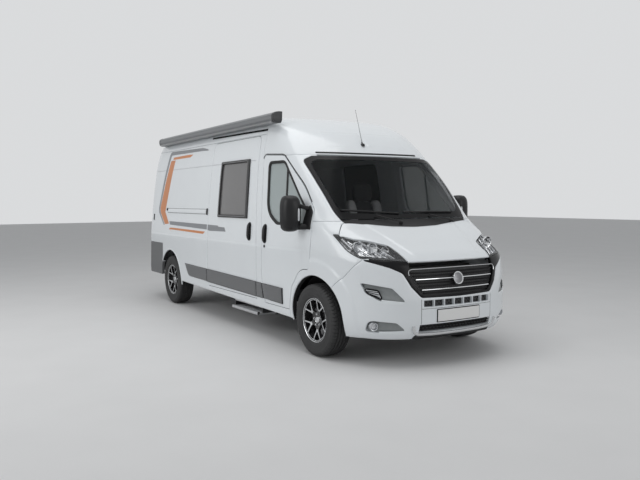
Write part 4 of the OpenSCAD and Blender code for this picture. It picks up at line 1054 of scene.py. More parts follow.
seam_dark = finish("seam_shadow", (0.03, 0.03, 0.032), (0.05, 0.05, 0.052), 0.7, 80, 0.1)
for k, y in enumerate((-0.432, 0.432)):
    strip(f"plate_panel_seam_{k}", front_line(y, 0.405, y, 0.632, 12), oval(0.0022, 0.0008, 6), seam_dark)
strip("plate_panel_seam_top", front_line(-0.432, 0.545, 0.432, 0.545, 24), oval(0.0018, 0.0008, 6), seam_dark)

# Windscreen: laminated glass bonded to the pillars, with a black printed border. A black cowl panel closes
# the gap to the bonnet, and two wipers lie along its foot.
glass = finish("screen_glass", (0.006, 0.008, 0.009), (0.008, 0.010, 0.011), 0.02, 2, 0.01, Alpha=0.16,
               Specular_IOR_Level=0.18)
frit = finish("screen_border", (0.004, 0.004, 0.005), (0.007, 0.007, 0.008), 0.18, 90, 0.06,
              Specular_IOR_Level=0.15)
glass_z = 1.345
glass_v = v_of_z([glass_z])[0]
below_glass = np.array([(-3, 0.9), (3, 0.9), (3, glass_v), (-3, glass_v)])
above_cowl = np.array([(-3, glass_v), (3, glass_v), (3, 2.4), (-3, 2.4)])
SCREEN_CLEAR = rounded([(-1, 1962, 0), (735, 1952, 60), (812, 1920, 50), (806, 1705, 0), (778, 1440, 120),
                        (690, 1408, 60), (-1, 1392, 0)])
clear_loop = both(front_uv(np.maximum(even(SCREEN_CLEAR, 0.04), 0)))
panel("windscreen_glass", screen_loop, glass, "body", [hood_loop, below_glass], step=0.03, thick=0.006,
      roll=0.001, replaces=("windscreen",), slot="glass")
panel("windscreen_border", screen_loop, frit, "body", [hood_loop, below_glass, clear_loop], step=0.02,
      thick=0.0012, roll=0, lift=0.0008, slot="black_plastic", shrink=0.003)
panel("cowl", screen_loop, cowl_black, "body", [hood_loop, above_cowl], step=0.02, thick=0.02, lift=-0.006,
      roll=0.003, replaces=("cowl_panel",), slot="black_plastic")
WIPERS = [
    # pivot across, pivot height, elbow across, height, blade from across, height, to across, height
    (-0.120, 1.300, -0.400, 1.372, -0.760, 1.432, -0.080, 1.392),
    (0.560, 1.305, 0.300, 1.370, -0.020, 1.405, 0.640, 1.398),
]
for k, (py, pz, ey, ez, y0, z0, y1, z1) in enumerate(WIPERS):
    strip(f"wiper_arm_{k}", front_line(py, pz, ey, ez, 16), oval(0.007, 0.005, 8) + (0, 0.020), cowl_black)
    strip(f"wiper_blade_{k}", front_line(y0, z0, y1, z1, 30),
          np.array([(-0.007, 0.001), (0.0, 0.0005), (0.007, 0.001), (0.009, 0.012), (0.004, 0.018),
                    (-0.004, 0.018), (-0.009, 0.012)]), cowl_black)
    knob(f"wiper_pivot_{k}", front_uv([(py, pz)]), [(-0.012, 0.020), (0.020, 0.018), (0.028, 0.012),
                                                    (0.030, 0.002)], cowl_black, "body")
BROW = rounded([(-700, 2024, 6), (640, 2026, 6), (640, 2044, 6), (-700, 2042, 6)])
panel("brow_strip", front_uv(even(BROW, 0.03)), frit, "body", step=0.02, thick=0.001, roll=0, lift=0.001,
      shrink=0, slot="black_plastic")

# Cab doors: white pressed steel, hung on the front pillars. Each has a dropping pane and a fixed quarter
# pane split by a black bar, a black seal round the glass, and a rubber seal in the gap to the body.
rubber = finish("seal_rubber", (0.012, 0.012, 0.012), (0.020, 0.020, 0.020), 0.75, 150, 0.1, 0.0002)
# The door panes' pale grey-teal is partly the glass's own tint and partly painted reflection of the bright
# studio.
door_glass = finish("door_glass", (0.44, 0.50, 0.50), (0.50, 0.56, 0.56), 0.03, 2, 0.01, Alpha=0.74)
DOOR_WINDOW = rounded([(1291, 1290, 120), (1066, 1400, 260), (1011, 1950, 50), (1361, 1945, 120),
                       (1721, 1580, 500), (1921, 1395, 30), (1911, 1290, 25)])
door_window_loop = side_uv(even(DOOR_WINDOW, 0.03))
window_seal = np.array([(0.014, -0.004), (0.016, 0.002), (0.004, 0.004), (-0.014, -0.002), (-0.014, -0.012),
                        (0.010, -0.012)])
divider = straight(side_uv, 1.470, 1.285, 1.425, 1.898, 16)
gap_seal = np.array([(0.0012, -0.012), (0.0012, -0.040), (-0.0018, -0.040), (-0.0018, -0.012)])
door_edge = even(DOOR, 0.02)
hinge_end = int(np.argmax((door_edge[:, 0] > 1.90) & (door_edge[:, 1] < 1.0)))
door_edge = np.roll(door_edge, -hinge_end, axis=0)
edge_x, edge_z = door_edge.T
off_hinge = side_uv(door_edge[~((edge_x > 1.90) & (edge_z > 0.80) & (edge_z < 1.52))])
over_door = (edge_z > 1.50) & ((edge_z > 2.0) & (edge_x > 0.872) | (edge_x > 1.2))
gutter_path = side_uv(door_edge[over_door])
gutter = np.array([(0.0035, 0.0004), (0.0135, 0.0004), (0.0120, 0.0030), (0.0050, 0.0030)])
for side, right in HANDS:
    body = f"front_door_{side}"
    panel(f"{body}_skin", door_loop, paint, body, [door_window_loop], step=0.022, shrink=gap_half,
          right=right, replaces=(body,))
    panel(f"door_glass_{side}_pane", door_window_loop, door_glass, body, step=0.03, thick=0.005, roll=0.001,
          lift=-0.014, right=right, replaces=(f"door_glass_{side}",), slot="glass")
    bead(f"{body}_window_seal", door_window_loop, window_seal, rubber, body, right=right,
         slot="black_plastic")
    strip(f"{body}_divider", divider, oval(0.016, 0.005, 10, 3) + (0, -0.010), rubber, body, right=right)
    strip(f"{body}_gap_seal", off_hinge, gap_seal, rubber, right=right)
    strip(f"gutter_{side}", gutter_path, gutter, rubber, right=right)

# Mirrors: tall black housings on two arms, screwed to the cab doors. Each holds a flat pane over a small
# wide-angle pane, with a clear repeater lamp in its front.
mirror_black = finish("mirror_plastic", (0.012, 0.012, 0.013), (0.020, 0.020, 0.021), 0.36, 140, 0.1,
                      0.0003, Specular_IOR_Level=0.28)
mirror_pane = finish("mirror_pane", (0.60, 0.62, 0.64), (0.68, 0.70, 0.72), 0.04, 10, 0.03, Metallic=1.0)
HOUSING = [
    # ahead, half width, half height, out, up
    (1.757, 0.088, 0.172, 1.132, 1.403),
    (1.764, 0.094, 0.179, 1.132, 1.403),
    (1.815, 0.096, 0.181, 1.132, 1.403),
    (1.850, 0.091, 0.175, 1.130, 1.404),
    (1.880, 0.076, 0.158, 1.126, 1.405),
    (1.898, 0.050, 0.122, 1.120, 1.406),
    (1.904, 0.016, 0.060, 1.116, 1.406),
]
ARMS = [
    # height at the door, height at the housing, half height
    (1.458, 1.488, 0.021),
    (1.270, 1.268, 0.027),
]
PANE = [(1.762, 0.0), (1.752, 0.0), (1.7495, -0.003)]
REPEATER = [(1.884, 0.012), (1.902, 0.012), (1.905, 0.008)]
MIRROR_FOOT = rounded([(1830, 1250, 20), (1982, 1242, 14), (1980, 1420, 40), (1925, 1492, 16),
                       (1880, 1440, 40), (1852, 1340, 40)])
mirror_foot_loop = side_uv(even(MIRROR_FOOT, 0.02))


def upright(section, x, y, z, flip):
    """A section that stands upright across the van at a place on one side."""
    return np.column_stack((np.full(len(section), x), flip * (y + section[:, 0]), z + section[:, 1]))


for side, flip in SIDES:
    body = f"front_door_{side}"
    rings = [upright(oval(w, h, 40, 3.4), x, y, z, flip) for x, w, h, y, z in HOUSING]
    lofted(f"mirror_{side}_housing", rings, mirror_black, body, (f"mirror_{side}",), "black_plastic")
    for part, h, z in (("upper", 0.112, 1.456), ("lower", 0.042, 1.284)):
        rings = [upright(oval(0.082 + grow, h + grow, 32, 4), x, 1.132, z, flip) for x, grow in PANE]
        lofted(f"mirror_{side}_pane_{part}", rings, mirror_pane, body, slot="steel")
    for k, (z0, z1, tall) in enumerate(ARMS):
        rings = []
        for t in np.linspace(0, 1, 9):
            bow = math.sin(t * math.pi) * 0.012
            section = oval(0.030 - 0.006 * t, tall, 16, 2.6)
            at = (1.905 - 0.070 * t + bow, flip * (0.985 + 0.115 * t),
                  z0 + (z1 - z0) * (3 * t * t - 2 * t ** 3))
            rings.append(np.column_stack((at[0] + section[:, 0], np.full(16, at[1]), at[2] + section[:, 1])))
        lofted(f"mirror_{side}_arm_{k}", rings, mirror_black, body, slot="black_plastic")
    panel(f"mirror_{side}_foot", mirror_foot_loop * (flip, 1), mirror_black, body, step=0.015, thick=0.02,
          lift=0.010, roll=0.006, slot="black_plastic")
    rings = [upright(oval(w, 0.062 * w / 0.012, 20, 4), x, 1.088, 1.392, flip) for x, w in REPEATER]
    lofted(f"mirror_{side}_repeater", rings, day_glow, body, slot="lamp")

# Door handles: upright black grips over a shallow black cup, one on each cab door and one on the sliding
# door, with a round lock under the cab ones.


def handle(name, x, z, body, flip):
    """A grip on the skin at a place seen from the side: a cup plate, and a bowed bar over it."""
    cup = rounded([(x * 1000 - 42, z * 1000 - 108, 40), (x * 1000 + 42, z * 1000 - 108, 40),
                   (x * 1000 + 42, z * 1000 + 108, 40), (x * 1000 - 42, z * 1000 + 108, 40)])
    panel(f"{name}_cup", side_uv(even(cup, 0.015)) * (flip, 1), mirror_black, body, step=0.012, thick=0.006,
          lift=0.004, roll=0.003, slot="black_plastic")
    rings = []
    for t in np.linspace(-1, 1, 15):
        at, normal = skin(side_uv([(x, z + 0.096 * t)]) * (flip, 1))
        rise = 0.004 + 0.018 * (1 - t ** 4)
        section = oval(0.024 * (1 - 0.25 * t ** 6), 0.011, 14, 2.4)
        rings.append(at[0] + np.outer(section[:, 0], (1, 0, 0)) + np.outer(section[:, 1] + rise, normal[0]))
    lofted(f"{name}_grip", rings, mirror_black, body, slot="black_plastic")


for side, flip in SIDES:
    handle(f"front_door_{side}_handle", 1.040, 1.168, f"front_door_{side}", flip)
    knob(f"front_door_{side}_lock", side_uv([(1.040, 1.030)]) * (flip, 1),
         [(-0.004, 0.016), (0.004, 0.016), (0.006, 0.013), (0.006, 0.001)], mirror_black,
         f"front_door_{side}")
handle("sliding_door_handle", 0.655, 1.178, "body", -1)

# Camper windows: smoked acrylic panes in black frames, one in the sliding door and one in the left wall.
# The frame is clamped on the panel from both faces; the pane is hinged at its top edge.
smoked = finish("smoked_acrylic", (0.110, 0.106, 0.106), (0.160, 0.156, 0.156), 0.14, 1.2, 0.05,
                Coat_Weight=0.4)
frame_black = finish("window_frame", (0.014, 0.014, 0.015), (0.024, 0.024, 0.025), 0.4, 120, 0.1, 0.0002)
frame_line = finish("frame_line", (0.20, 0.20, 0.205), (0.26, 0.26, 0.265), 0.3, 60, 0.1)
FRAME_OUT = rounded([(-257, 1323, 14), (587, 1323, 14), (547, 2017, 14), (-257, 2017, 14)])
PANE_EDGE = rounded([(-222, 1356, 12), (524, 1356, 12), (487, 1984, 12), (-222, 1984, 12)])
frame_out_loop = side_uv(even(FRAME_OUT, 0.04))
pane_loop = side_uv(even(PANE_EDGE, 0.04))
for side, flip in SIDES:
    panel(f"camper_window_{side}_pane", inset(pane_loop, -0.004) * (flip, 1), smoked, "body", step=0.04,
          thick=0.016, lift=-0.004, roll=0.002, slot="dark_glass")
    panel(f"camper_window_{side}_frame", frame_out_loop * (flip, 1), frame_black, "body",
          [pane_loop * (flip, 1)], step=0.02, thick=0.034, lift=0.014, roll=0.004, slot="black_plastic")
    bead(f"camper_window_{side}_line", inset(pane_loop, -0.013), oval(0.003, 0.002, 8) + (0, 0.014),
         frame_line, "body", right=flip < 0, slot="black_plastic")
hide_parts("side_windows")

# Side mouldings: grey plastic strips over dark seals, glued along the flanks above the sills. They are split
# at the door gaps, and a black cap closes the front end.
grey_strip = finish("grey_moulding", (0.120, 0.123, 0.128), (0.150, 0.153, 0.158), 0.32, 90, 0.1, 0.0002)


def strip_z(x):
    """Height of the moulding's middle, which drops a little towards the front."""
    return 0.546 - 0.015 * x


def moulding(name, x0, x1, body, flip, lean0=0.0, lean1=0.0, corner=0.004):
    """A strip between two ends over a dark seal; an end leans by the given run over its height."""
    tall = 0.085
    corners = [(x0 + lean0, strip_z(x0) - tall, corner), (x1 + lean1, strip_z(x1) - tall, 0.004),
               (x1 - lean1, strip_z(x1) + tall, 0.004), (x0 - lean0, strip_z(x0) + tall, 0.004)]
    loop = side_uv(even(rounded(corners, 1.0), 0.05)) * (flip, 1)
    panel(name, inset(loop, 0.003), grey_strip, body, step=0.04, thick=0.010, lift=0.008, roll=0.003,
          slot="grey_plastic")
    panel(f"{name}_seal", loop, rubber, body, step=0.04, thick=0.004, lift=0.003, roll=0.001,
          slot="black_plastic")


def moulding_end(side, flip):
    """The black cap on the moulding's front end."""
    line = straight(side_uv, 1.443, 0.440, 1.443, 0.609, 12) * (flip, 1)
    strip(f"moulding_{side}_end", line, oval(0.007, 0.009, 10, 3) + (0, 0.003), mirror_black,
          f"front_door_{side}")


moulding("moulding_right_rear", -1.315, -0.5895, "body", -1, 0.065, corner=0.10)
moulding("moulding_right_slide", -0.5805, 0.8385, "body", -1)
moulding("moulding_right_post", 0.8485, 0.9945, "body", -1, 0.0, 0.0182)
moulding("moulding_right_cab", 1.0055, 1.440, "front_door_right", -1, 0.0182)
moulding("moulding_left_wall", -1.315, 0.9945, "body", 1, 0.065, 0.0182, corner=0.10)
moulding("moulding_left_cab", 1.0055, 1.440, "front_door_left", 1, 0.0182)
moulding_end("left", 1)
moulding_end("right", -1)

# Sliding door gear: a rail in the rear flank with a white cover and black stops, a black upper rail under the
# roof's edge, and a rubber seal in the door's gap.
# A grey bed lies under the white cover. The thin grey lines it shows above and below the cover are painted
# shade of the rail's slot.
RAIL_BED_SHADE = rounded([(-2140, 1350, 10), (-598, 1350, 10), (-598, 1424, 10), (-2140, 1424, 10)])
RAIL_COVER = rounded([(-2120, 1356, 8), (-655, 1356, 8), (-655, 1418, 8), (-2120, 1418, 8)])
panel("slide_rail_bed_shade", side_uv(even(RAIL_BED_SHADE, 0.04)), grey_strip, "body", right=True, step=0.03,
      thick=0.003, lift=0.0012, roll=0, slot="black_plastic")
panel("slide_rail_cover", side_uv(even(RAIL_COVER, 0.04)), paint, "body", right=True, step=0.03,
      thick=0.008, lift=0.007, roll=0.005)
for k, (x, z, tall) in enumerate(((-2.150, 1.405, 0.020), (-0.618, 1.388, 0.044))):
    stop = straight(side_uv, x - 0.020, z, x + 0.020, z, 6)
    strip(f"slide_rail_stop_{k}", stop, oval(tall, 0.010, 10, 4), mirror_black, right=True)
strip("slide_upper_rail", straight(side_uv, -0.72, 2.352, 0.838, 2.330, 50),
      np.array([(-0.012, -0.002), (0.012, -0.002), (0.012, 0.003), (-0.012, 0.003)]), gloss_black,
      right=True)
bead("sliding_door_gap_seal", slide_loop, gap_seal, rubber, "body", right=True, slot="black_plastic")
strip("rear_stop", straight(side_uv, -2.745, 1.232, -2.745, 1.325, 10), oval(0.014, 0.010, 10, 3),
      mirror_black, right=True)

# Stripes: cut vinyl film on both flanks, burnt orange and grey, with rounded and slanted ends. The film is
# laid on the paint.
stripe_orange = finish("stripe_orange", (0.60, 0.205, 0.060), (0.66, 0.235, 0.072), 0.32, 300, 0.06)
stripe_grey = finish("stripe_grey", (0.215, 0.225, 0.240), (0.255, 0.265, 0.280), 0.32, 300, 0.06)
STRIPES = [
    (stripe_grey, [(-2262, 2272, 90), (-1000, 2250, 60), (-800, 2222, 0), (-785, 2200, 0),
                   (-985, 2208, 60), (-2204, 2216, 60), (-2492, 1424, 0), (-2463, 1350, 0),
                   (-2250, 1172, 0), (-2275, 1160, 0), (-2530, 1352, 0), (-2547, 1424, 0)]),
    (stripe_orange, [(-2102, 2180, 0), (-1453, 2186, 60), (-1318, 2178, 0), (-1415, 2146, 0),
                     (-2110, 2146, 0)]),
    (stripe_orange, [(-2191, 2134, 30), (-2005, 2135, 0), (-2227, 1424, 0), (-2247, 1366, 0),
                     (-2057, 1191, 0), (-2234, 1178, 0), (-2451, 1350, 0), (-2480, 1424, 0)]),
    (stripe_orange, [(-2183, 1137, 30), (-656, 1125, 0), (-721, 1092, 0), (-2047, 1109, 60)]),
    (stripe_grey, [(-2041, 1229, 0), (-600, 1220, 0), (-600, 1154, 0), (-2011, 1177, 0)]),
    (stripe_grey, [(-572, 1220, 0), (-250, 1217, 0), (-225, 1203, 0), (-43, 1200, 0), (-4, 1149, 0),
                   (-491, 1141, 0), (-572, 1148, 0)]),
]
for k, (film, points) in enumerate(STRIPES):
    outline = side_uv(even(rounded(points), 0.04))
    for side, flip in SIDES:
        panel(f"stripe_{side}_{k}", outline * (flip, 1), film, "body", step=0.04, thick=0.0012, roll=0,
              lift=0.0009, shrink=0, slot="paint")

# Rear doors: two white steel doors that part in the middle, each with a smoked pane in a rubber seal, hung on
# two hinges at its outer edge. The right one carries the handle.
REAR_DOOR = rounded([(0, 480, 0), (800, 480, 40), (800, 2274, 90), (0, 2274, 0)])
REAR_WINDOW = rounded([(130, 1330, 60), (690, 1330, 60), (660, 1960, 70), (130, 1960, 60)])
PRESSING = rounded([(90, 560, 40), (730, 560, 40), (730, 1040, 40), (90, 1040, 40)])


def tail_loop(outline):
    """Places that count across from the middle of the tail, for [y, z] points seen from behind."""
    places = tail_uv(even(outline, 0.04))
    return np.column_stack((RING_U[4] - places[:, 0], places[:, 1]))


rear_loop = tail_loop(REAR_DOOR)
rear_window_loop = tail_loop(REAR_WINDOW)
pressing_loop = tail_loop(PRESSING)
for side, flip in SIDES:
    body = f"rear_door_{side}"
    panel(f"{body}_skin", rear_loop * (flip, 1), paint, body, [rear_window_loop * (flip, 1)], tail=True,
          shrink=gap_half, replaces=(body,))
    panel(f"rear_glass_{side}_pane", inset(rear_window_loop, 0.004) * (flip, 1), smoked, body, tail=True,
          thick=0.012, lift=-0.002, roll=0.003, replaces=(f"rear_glass_{side}",), slot="dark_glass")
    panel(f"{body}_window_seal", inset(rear_window_loop, -0.010) * (flip, 1), rubber, body,
          [inset(rear_window_loop, 0.010) * (flip, 1)], tail=True, step=0.02, thick=0.012, lift=0.003,
          roll=0.003, slot="black_plastic")
    panel(f"{body}_pressing", pressing_loop * (flip, 1), paint, body, tail=True, step=0.04, thick=0.010,
          lift=0.004, roll=0.004)
    for k, z in enumerate((0.960, 1.760)):
        outline = rounded([(700, z * 1000 - 32, 20), (800, z * 1000 - 26, 6), (800, z * 1000 + 26, 6),
                           (700, z * 1000 + 32, 20)])
        panel(f"{body}_hinge_{k}", tail_loop(outline) * (flip, 1), mirror_black, body, tail=True, step=0.02,
              thick=0.010, lift=0.006, roll=0.004, slot="black_plastic")
rear_handle = rounded([(-150, 1075, 24), (-40, 1075, 24), (-40, 1255, 24), (-150, 1255, 24)])
handle_places = tail_loop(np.abs(rear_handle)) * (-1, 1)
panel("rear_handle_cup", handle_places, mirror_black, "rear_door_right", tail=True, step=0.015, thick=0.012,
      lift=0.006, roll=0.005, slot="black_plastic")

# Tail lamps: tall red lamps at the corners with a clear band for the reversing light and an amber one,
# screwed into the corner panels.
lamp_red = finish("tail_red", (0.33, 0.010, 0.012), (0.42, 0.016, 0.018), 0.10, 60, 0.05, Coat_Weight=0.7)
lamp_amber = finish("tail_amber", (0.60, 0.20, 0.02), (0.68, 0.25, 0.03), 0.10, 60, 0.05, Coat_Weight=0.7)
lamp_clear = finish("tail_clear", (0.62, 0.60, 0.60), (0.72, 0.70, 0.70), 0.10, 60, 0.05, Coat_Weight=0.7)
LAMP_BANDS = [(1.024, 1.200, lamp_red), (1.204, 1.290, lamp_clear), (1.294, 1.380, lamp_amber),
              (1.384, 1.576, lamp_red)]
for side, flip in SIDES:
    for k, (z0, z1, made) in enumerate(LAMP_BANDS):
        outline = rounded([(824, z0 * 1000, 8), (938, z0 * 1000, 8), (938, z1 * 1000, 8),
                           (824, z1 * 1000, 8)])
        panel(f"tail_lamp_{side}_{k}", tail_uv(even(outline, 0.02)) * (flip, 1), made, "body", step=0.02,
              thick=0.03, lift=0.006, roll=0.006, slot="tail_lamp", shrink=0)
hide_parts("rear_lamps")

# Rear bumper: one grey grained moulding with tall corners that run to the wheel arches, clipped on below
# the rear doors.
grey_plastic = finish("grey_plastic", (0.130, 0.133, 0.138), (0.165, 0.168, 0.173), 0.5, 90, 0.12, 0.0004)
corner_w = RING_U[4] - bumper_u
bumper_box = box(-corner_w, v_of_z([sill(-2.7)])[0], corner_w, corner_v)
arch_w = np.column_stack((RING_U[4] - rear_arch_loop[:, 0], rear_arch_loop[:, 1]))
panel("rear_bumper_skin", bumper_box, grey_plastic, "body", [rear_loop, rear_loop * (-1, 1), arch_w,
                                                             arch_w * (-1, 1)], tail=True, step=0.025,
      roll=0.008, replaces=("rear_bumper",), slot="grey_plastic")

# Awning: an anthracite aluminium case along the right roof edge, with grooves along its face, a pale lip
# under it and dark moulded end caps, carried on brackets.
case_grey = finish("awning_case", (0.165, 0.172, 0.180), (0.205, 0.212, 0.220), 0.34, 40, 0.1,
                   stretch=(0.05, 1, 1))
case_lip = finish("awning_lip", (0.34, 0.345, 0.35), (0.40, 0.405, 0.41), 0.35, 40, 0.1,
                  stretch=(0.05, 1, 1), Metallic=0.7)
case_cap = finish("awning_cap", (0.040, 0.041, 0.044), (0.055, 0.056, 0.059), 0.45, 120, 0.1, 0.0002)
CASE = np.array([(-0.831, 2.503), (-0.870, 2.504), (-0.908, 2.498), (-0.932, 2.487), (-0.945, 2.472),
                 (-0.9485, 2.464), (-0.9455, 2.462), (-0.9485, 2.459), (-0.950, 2.436), (-0.948, 2.419),
                 (-0.944, 2.417), (-0.946, 2.413), (-0.942, 2.399), (-0.925, 2.385), (-0.900, 2.381),
                 (-0.848, 2.381), (-0.833, 2.410)])
case_x = (-2.575, 1.087)


def along_x(section, stations):
    """Rings of a [y, z] section at stations of [x, scale about its middle]."""
    middle = section.mean(0)
    return [np.column_stack((np.full(len(section), x), (section - middle) * grow + middle)) for x,
            grow in stations]


lofted("awning_case", along_x(CASE, [(case_x[0], 1), (case_x[1], 1)]), case_grey, "body", ("awning",),
       "awning_case", sharp=22)
LIP = np.array([(-0.944, 2.401), (-0.950, 2.395), (-0.948, 2.385), (-0.936, 2.381), (-0.920, 2.3805),
                (-0.922, 2.387)])
lofted("awning_lip", along_x(LIP, [(case_x[0], 1), (case_x[1], 1)]), case_lip, "body", slot="awning_case")
for name, a, b in (("front", case_x[1], 1.131), ("rear", case_x[0], -2.619)):
    way = 1 if b > a else -1
    lofted(f"awning_cap_{name}", along_x(CASE, [(a, 1.0), (a + way * 0.001, 1.03), (b - way * 0.012, 1.03),
                                                (b - way * 0.003, 0.97), (b, 0.86)]), case_cap, "body",
           slot="awning_case")
BRACKET = np.array([(-0.812, 2.418), (-0.834, 2.412), (-0.834, 2.478), (-0.815, 2.484), (-0.762, 2.472),
                    (-0.756, 2.462), (-0.800, 2.440)])
for k, x in enumerate((-2.2, -0.75, 0.70)):
    lofted(f"awning_bracket_{k}", along_x(BRACKET, [(x - 0.06, 1), (x + 0.06, 1)]), case_cap, "body",
           slot="awning_case", sharp=20)

# Roof fittings: a smoked vent dome in a white frame, and a short aerial over the windscreen.
vent_x = -0.350
VENT = [
    # height, half length, half width
    (2.472, 0.350, 0.250), (2.528, 0.350, 0.250), (2.532, 0.345, 0.245),
]
DOME = [(2.530, 0.325, 0.225), (2.547, 0.322, 0.222), (2.555, 0.300, 0.200), (2.559, 0.250, 0.150),
        (2.560, 0.100, 0.060)]
for name, rows, made in (("frame", VENT, paint), ("dome", DOME, smoked)):
    rings = []
    for z, long, wide in rows:
        section = oval(long, wide, 64, 7)
        rings.append(np.column_stack((section + (vent_x, 0), np.full(64, z))))
    lofted(f"roof_vent_{name}", rings, made, "body", slot="dark_glass" if name == "dome" else "paint")
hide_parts("roof_vent")


def rod(path, radius, sides=10):
    """Rings of a round rod along a path of points; the radius may differ at each."""
    path = np.asarray(path, float)
    radius = np.broadcast_to(radius, len(path))
    along = np.gradient(path, axis=0)
    along /= np.linalg.norm(along, axis=1)[:, None]
    side = np.cross(along[0], (0, 0, 1.0) if abs(along[0, 2]) < 0.9 else (1.0, 0, 0))
    rings = []
    angle = np.linspace(0, 2 * math.pi, sides, endpoint=False)
    for p, d, r in zip(path, along, radius):
        side = side - d * (side @ d)
        side = side / np.linalg.norm(side)
        rings.append(p + r * (np.outer(np.cos(angle), side) + np.outer(np.sin(angle), np.cross(d, side))))
    return rings


aerial_at = skin(front_uv([(-0.055, 2.135)]))[0][0]
aerial_tip = np.array((1.330, 0.0, 2.545))
lift_path = [aerial_at + (aerial_tip - aerial_at) * t for t in (0, 0.04, 0.09, 0.10, 0.55, 0.97, 1.0)]
lofted("aerial_rod", rod(lift_path, [0.012, 0.010, 0.006, 0.003, 0.002, 0.0016, 0.003]), mirror_black,
       "body", slot="black_plastic")
AERIAL_FOOT = [(1.0, -0.012), (1.0, 0.004), (0.86, 0.012), (0.5, 0.018), (0.1, 0.020)]
verts, faces = loft([np.column_stack((oval(0.034 * g, 0.020 * g, 24), np.full(24, h))) for g,
                     h in AERIAL_FOOT])
piece("aerial_foot", verts + aerial_at, faces, mirror_black, "body", slot="black_plastic")

# Tyres: black rubber on the rims, with four grooves round the tread, cross grooves that cut it into blocks
# and fine ridges on the sidewalls.
tyre_rubber = finish("tyre_rubber", (0.022, 0.022, 0.0225), (0.042, 0.042, 0.0425), 0.72, 60, 0.14, 0.0004)
TYRE = [
    # radius, across, depth of the cross grooves, their shift in steps
    (0.2100, -0.0700, 0, 0), (0.2170, -0.0880, 0, 0), (0.2215, -0.0975, 0, 0), (0.2262, -0.1030, 0, 0),
    (0.2280, -0.1062, 0, 0), (0.2420, -0.1095, 0, 0), (0.2480, -0.1104, 0, 0), (0.2486, -0.1114, 0, 0),
    (0.2510, -0.1115, 0, 0), (0.2516, -0.1106, 0, 0), (0.2680, -0.1118, 0, 0), (0.2686, -0.1130, 0, 0),
    (0.2730, -0.1131, 0, 0), (0.2736, -0.1119, 0, 0), (0.2980, -0.1125, 0, 0), (0.3130, -0.1112, 0, 0),
    (0.3160, -0.1118, 0, 0), (0.3230, -0.1092, 0.002, 0), (0.3350, -0.1052, 0.005, 0),
    (0.3460, -0.0988, 0.007, 0), (0.3525, -0.0902, 0.008, 0), (0.3552, -0.0780, 0.008, 0),
    (0.3564, -0.0620, 0.008, 1), (0.3565, -0.0565, 0.008, 1), (0.3485, -0.0550, 0, 0),
    (0.3485, -0.0475, 0, 0), (0.3572, -0.0460, 0.005, 3), (0.3576, -0.0230, 0.005, 4),
    (0.3490, -0.0215, 0, 0), (0.3490, -0.0145, 0, 0), (0.3578, -0.0130, 0.004, 1),
    (0.3580, 0.0, 0.004, 2),
]
tyre_half = np.array(TYRE)
mirror_half = tyre_half[-2::-1] * (1, -1, 1, 1)
tyre_profile = np.vstack((tyre_half, mirror_half))
tyre_steps = 360


def around(profile, steps, pitch=6):
    """Rings of a turned shape about Y, with its cross grooves cut every few steps."""
    rings = []
    for k in range(steps):
        angle = 2 * math.pi * k / steps
        cut = np.where((k + profile[:, 3].astype(int)) % pitch < 1, profile[:, 2], 0)
        r = profile[:, 0] - cut
        rings.append(np.column_stack((r * math.sin(angle), profile[:, 1], r * math.cos(angle))))
    return rings


# Rims: cast alloy in five pairs of spokes, black with the faces turned bright, on a black barrel. Five bolts
# and a plain cap hold the middle; a cast brake disc shows behind the spokes.
rim_black = finish("rim_black", (0.012, 0.012, 0.013), (0.020, 0.020, 0.021), 0.25, 60, 0.1, Coat_Weight=0.4)
rim_bright = finish("rim_bright", (0.58, 0.59, 0.60), (0.72, 0.73, 0.74), 0.24, 90, 0.12, Metallic=1.0)
disc_iron = finish("brake_disc", (0.24, 0.24, 0.25), (0.34, 0.34, 0.35), 0.4, 120, 0.15, 0.0002, Metallic=0.9)
BARREL = [(0.2165, 0.0985), (0.2205, 0.0960), (0.2150, 0.0880), (0.2080, 0.0600), (0.2040, 0.0),
          (0.2080, -0.0600), (0.2140, -0.0700), (0.2205, -0.0820), (0.2180, -0.0850), (0.2000, -0.0700),
          (0.1880, -0.0400), (0.1900, 0.0350), (0.2000, 0.0700), (0.2060, 0.0880), (0.2105, 0.0955)]
BRAKE = [(0.045, 0.030), (0.085, 0.030), (0.090, 0.012), (0.150, 0.012), (0.152, 0.010), (0.152, -0.012),
         (0.150, -0.014), (0.090, -0.014), (0.045, -0.014)]
CAP = [(0.045, 0.034), (0.064, 0.033), (0.069, 0.029), (0.067, 0.025), (0.070, 0.012), (0.071, 0.001)]
BOLT = [(0.0, 0.013), (0.008, 0.013), (0.0085, 0.010), (0.016, 0.0095), (0.017, 0.0070), (0.017, 0.0005)]


def polar(r, degrees):
    """A place on the wheel's face, [ahead, up]."""
    return (r * math.sin(math.radians(degrees)), r * math.cos(math.radians(degrees)))


def window(corners, radius):
    """A rounded window of the wheel's face from [radius, degrees] corners."""
    return even(rounded([(*polar(r, d), radius) for r, d in corners], 1.0), 0.006)


def face_dish(r):
    """How far the wheel's face lies out at a radius: sunk at the hub and nearly flush at the rim."""
    return np.interp(r, (0.0, 0.045, 0.075, 0.11, 0.16, 0.206), (0.058, 0.058, 0.066, 0.079, 0.087, 0.091))


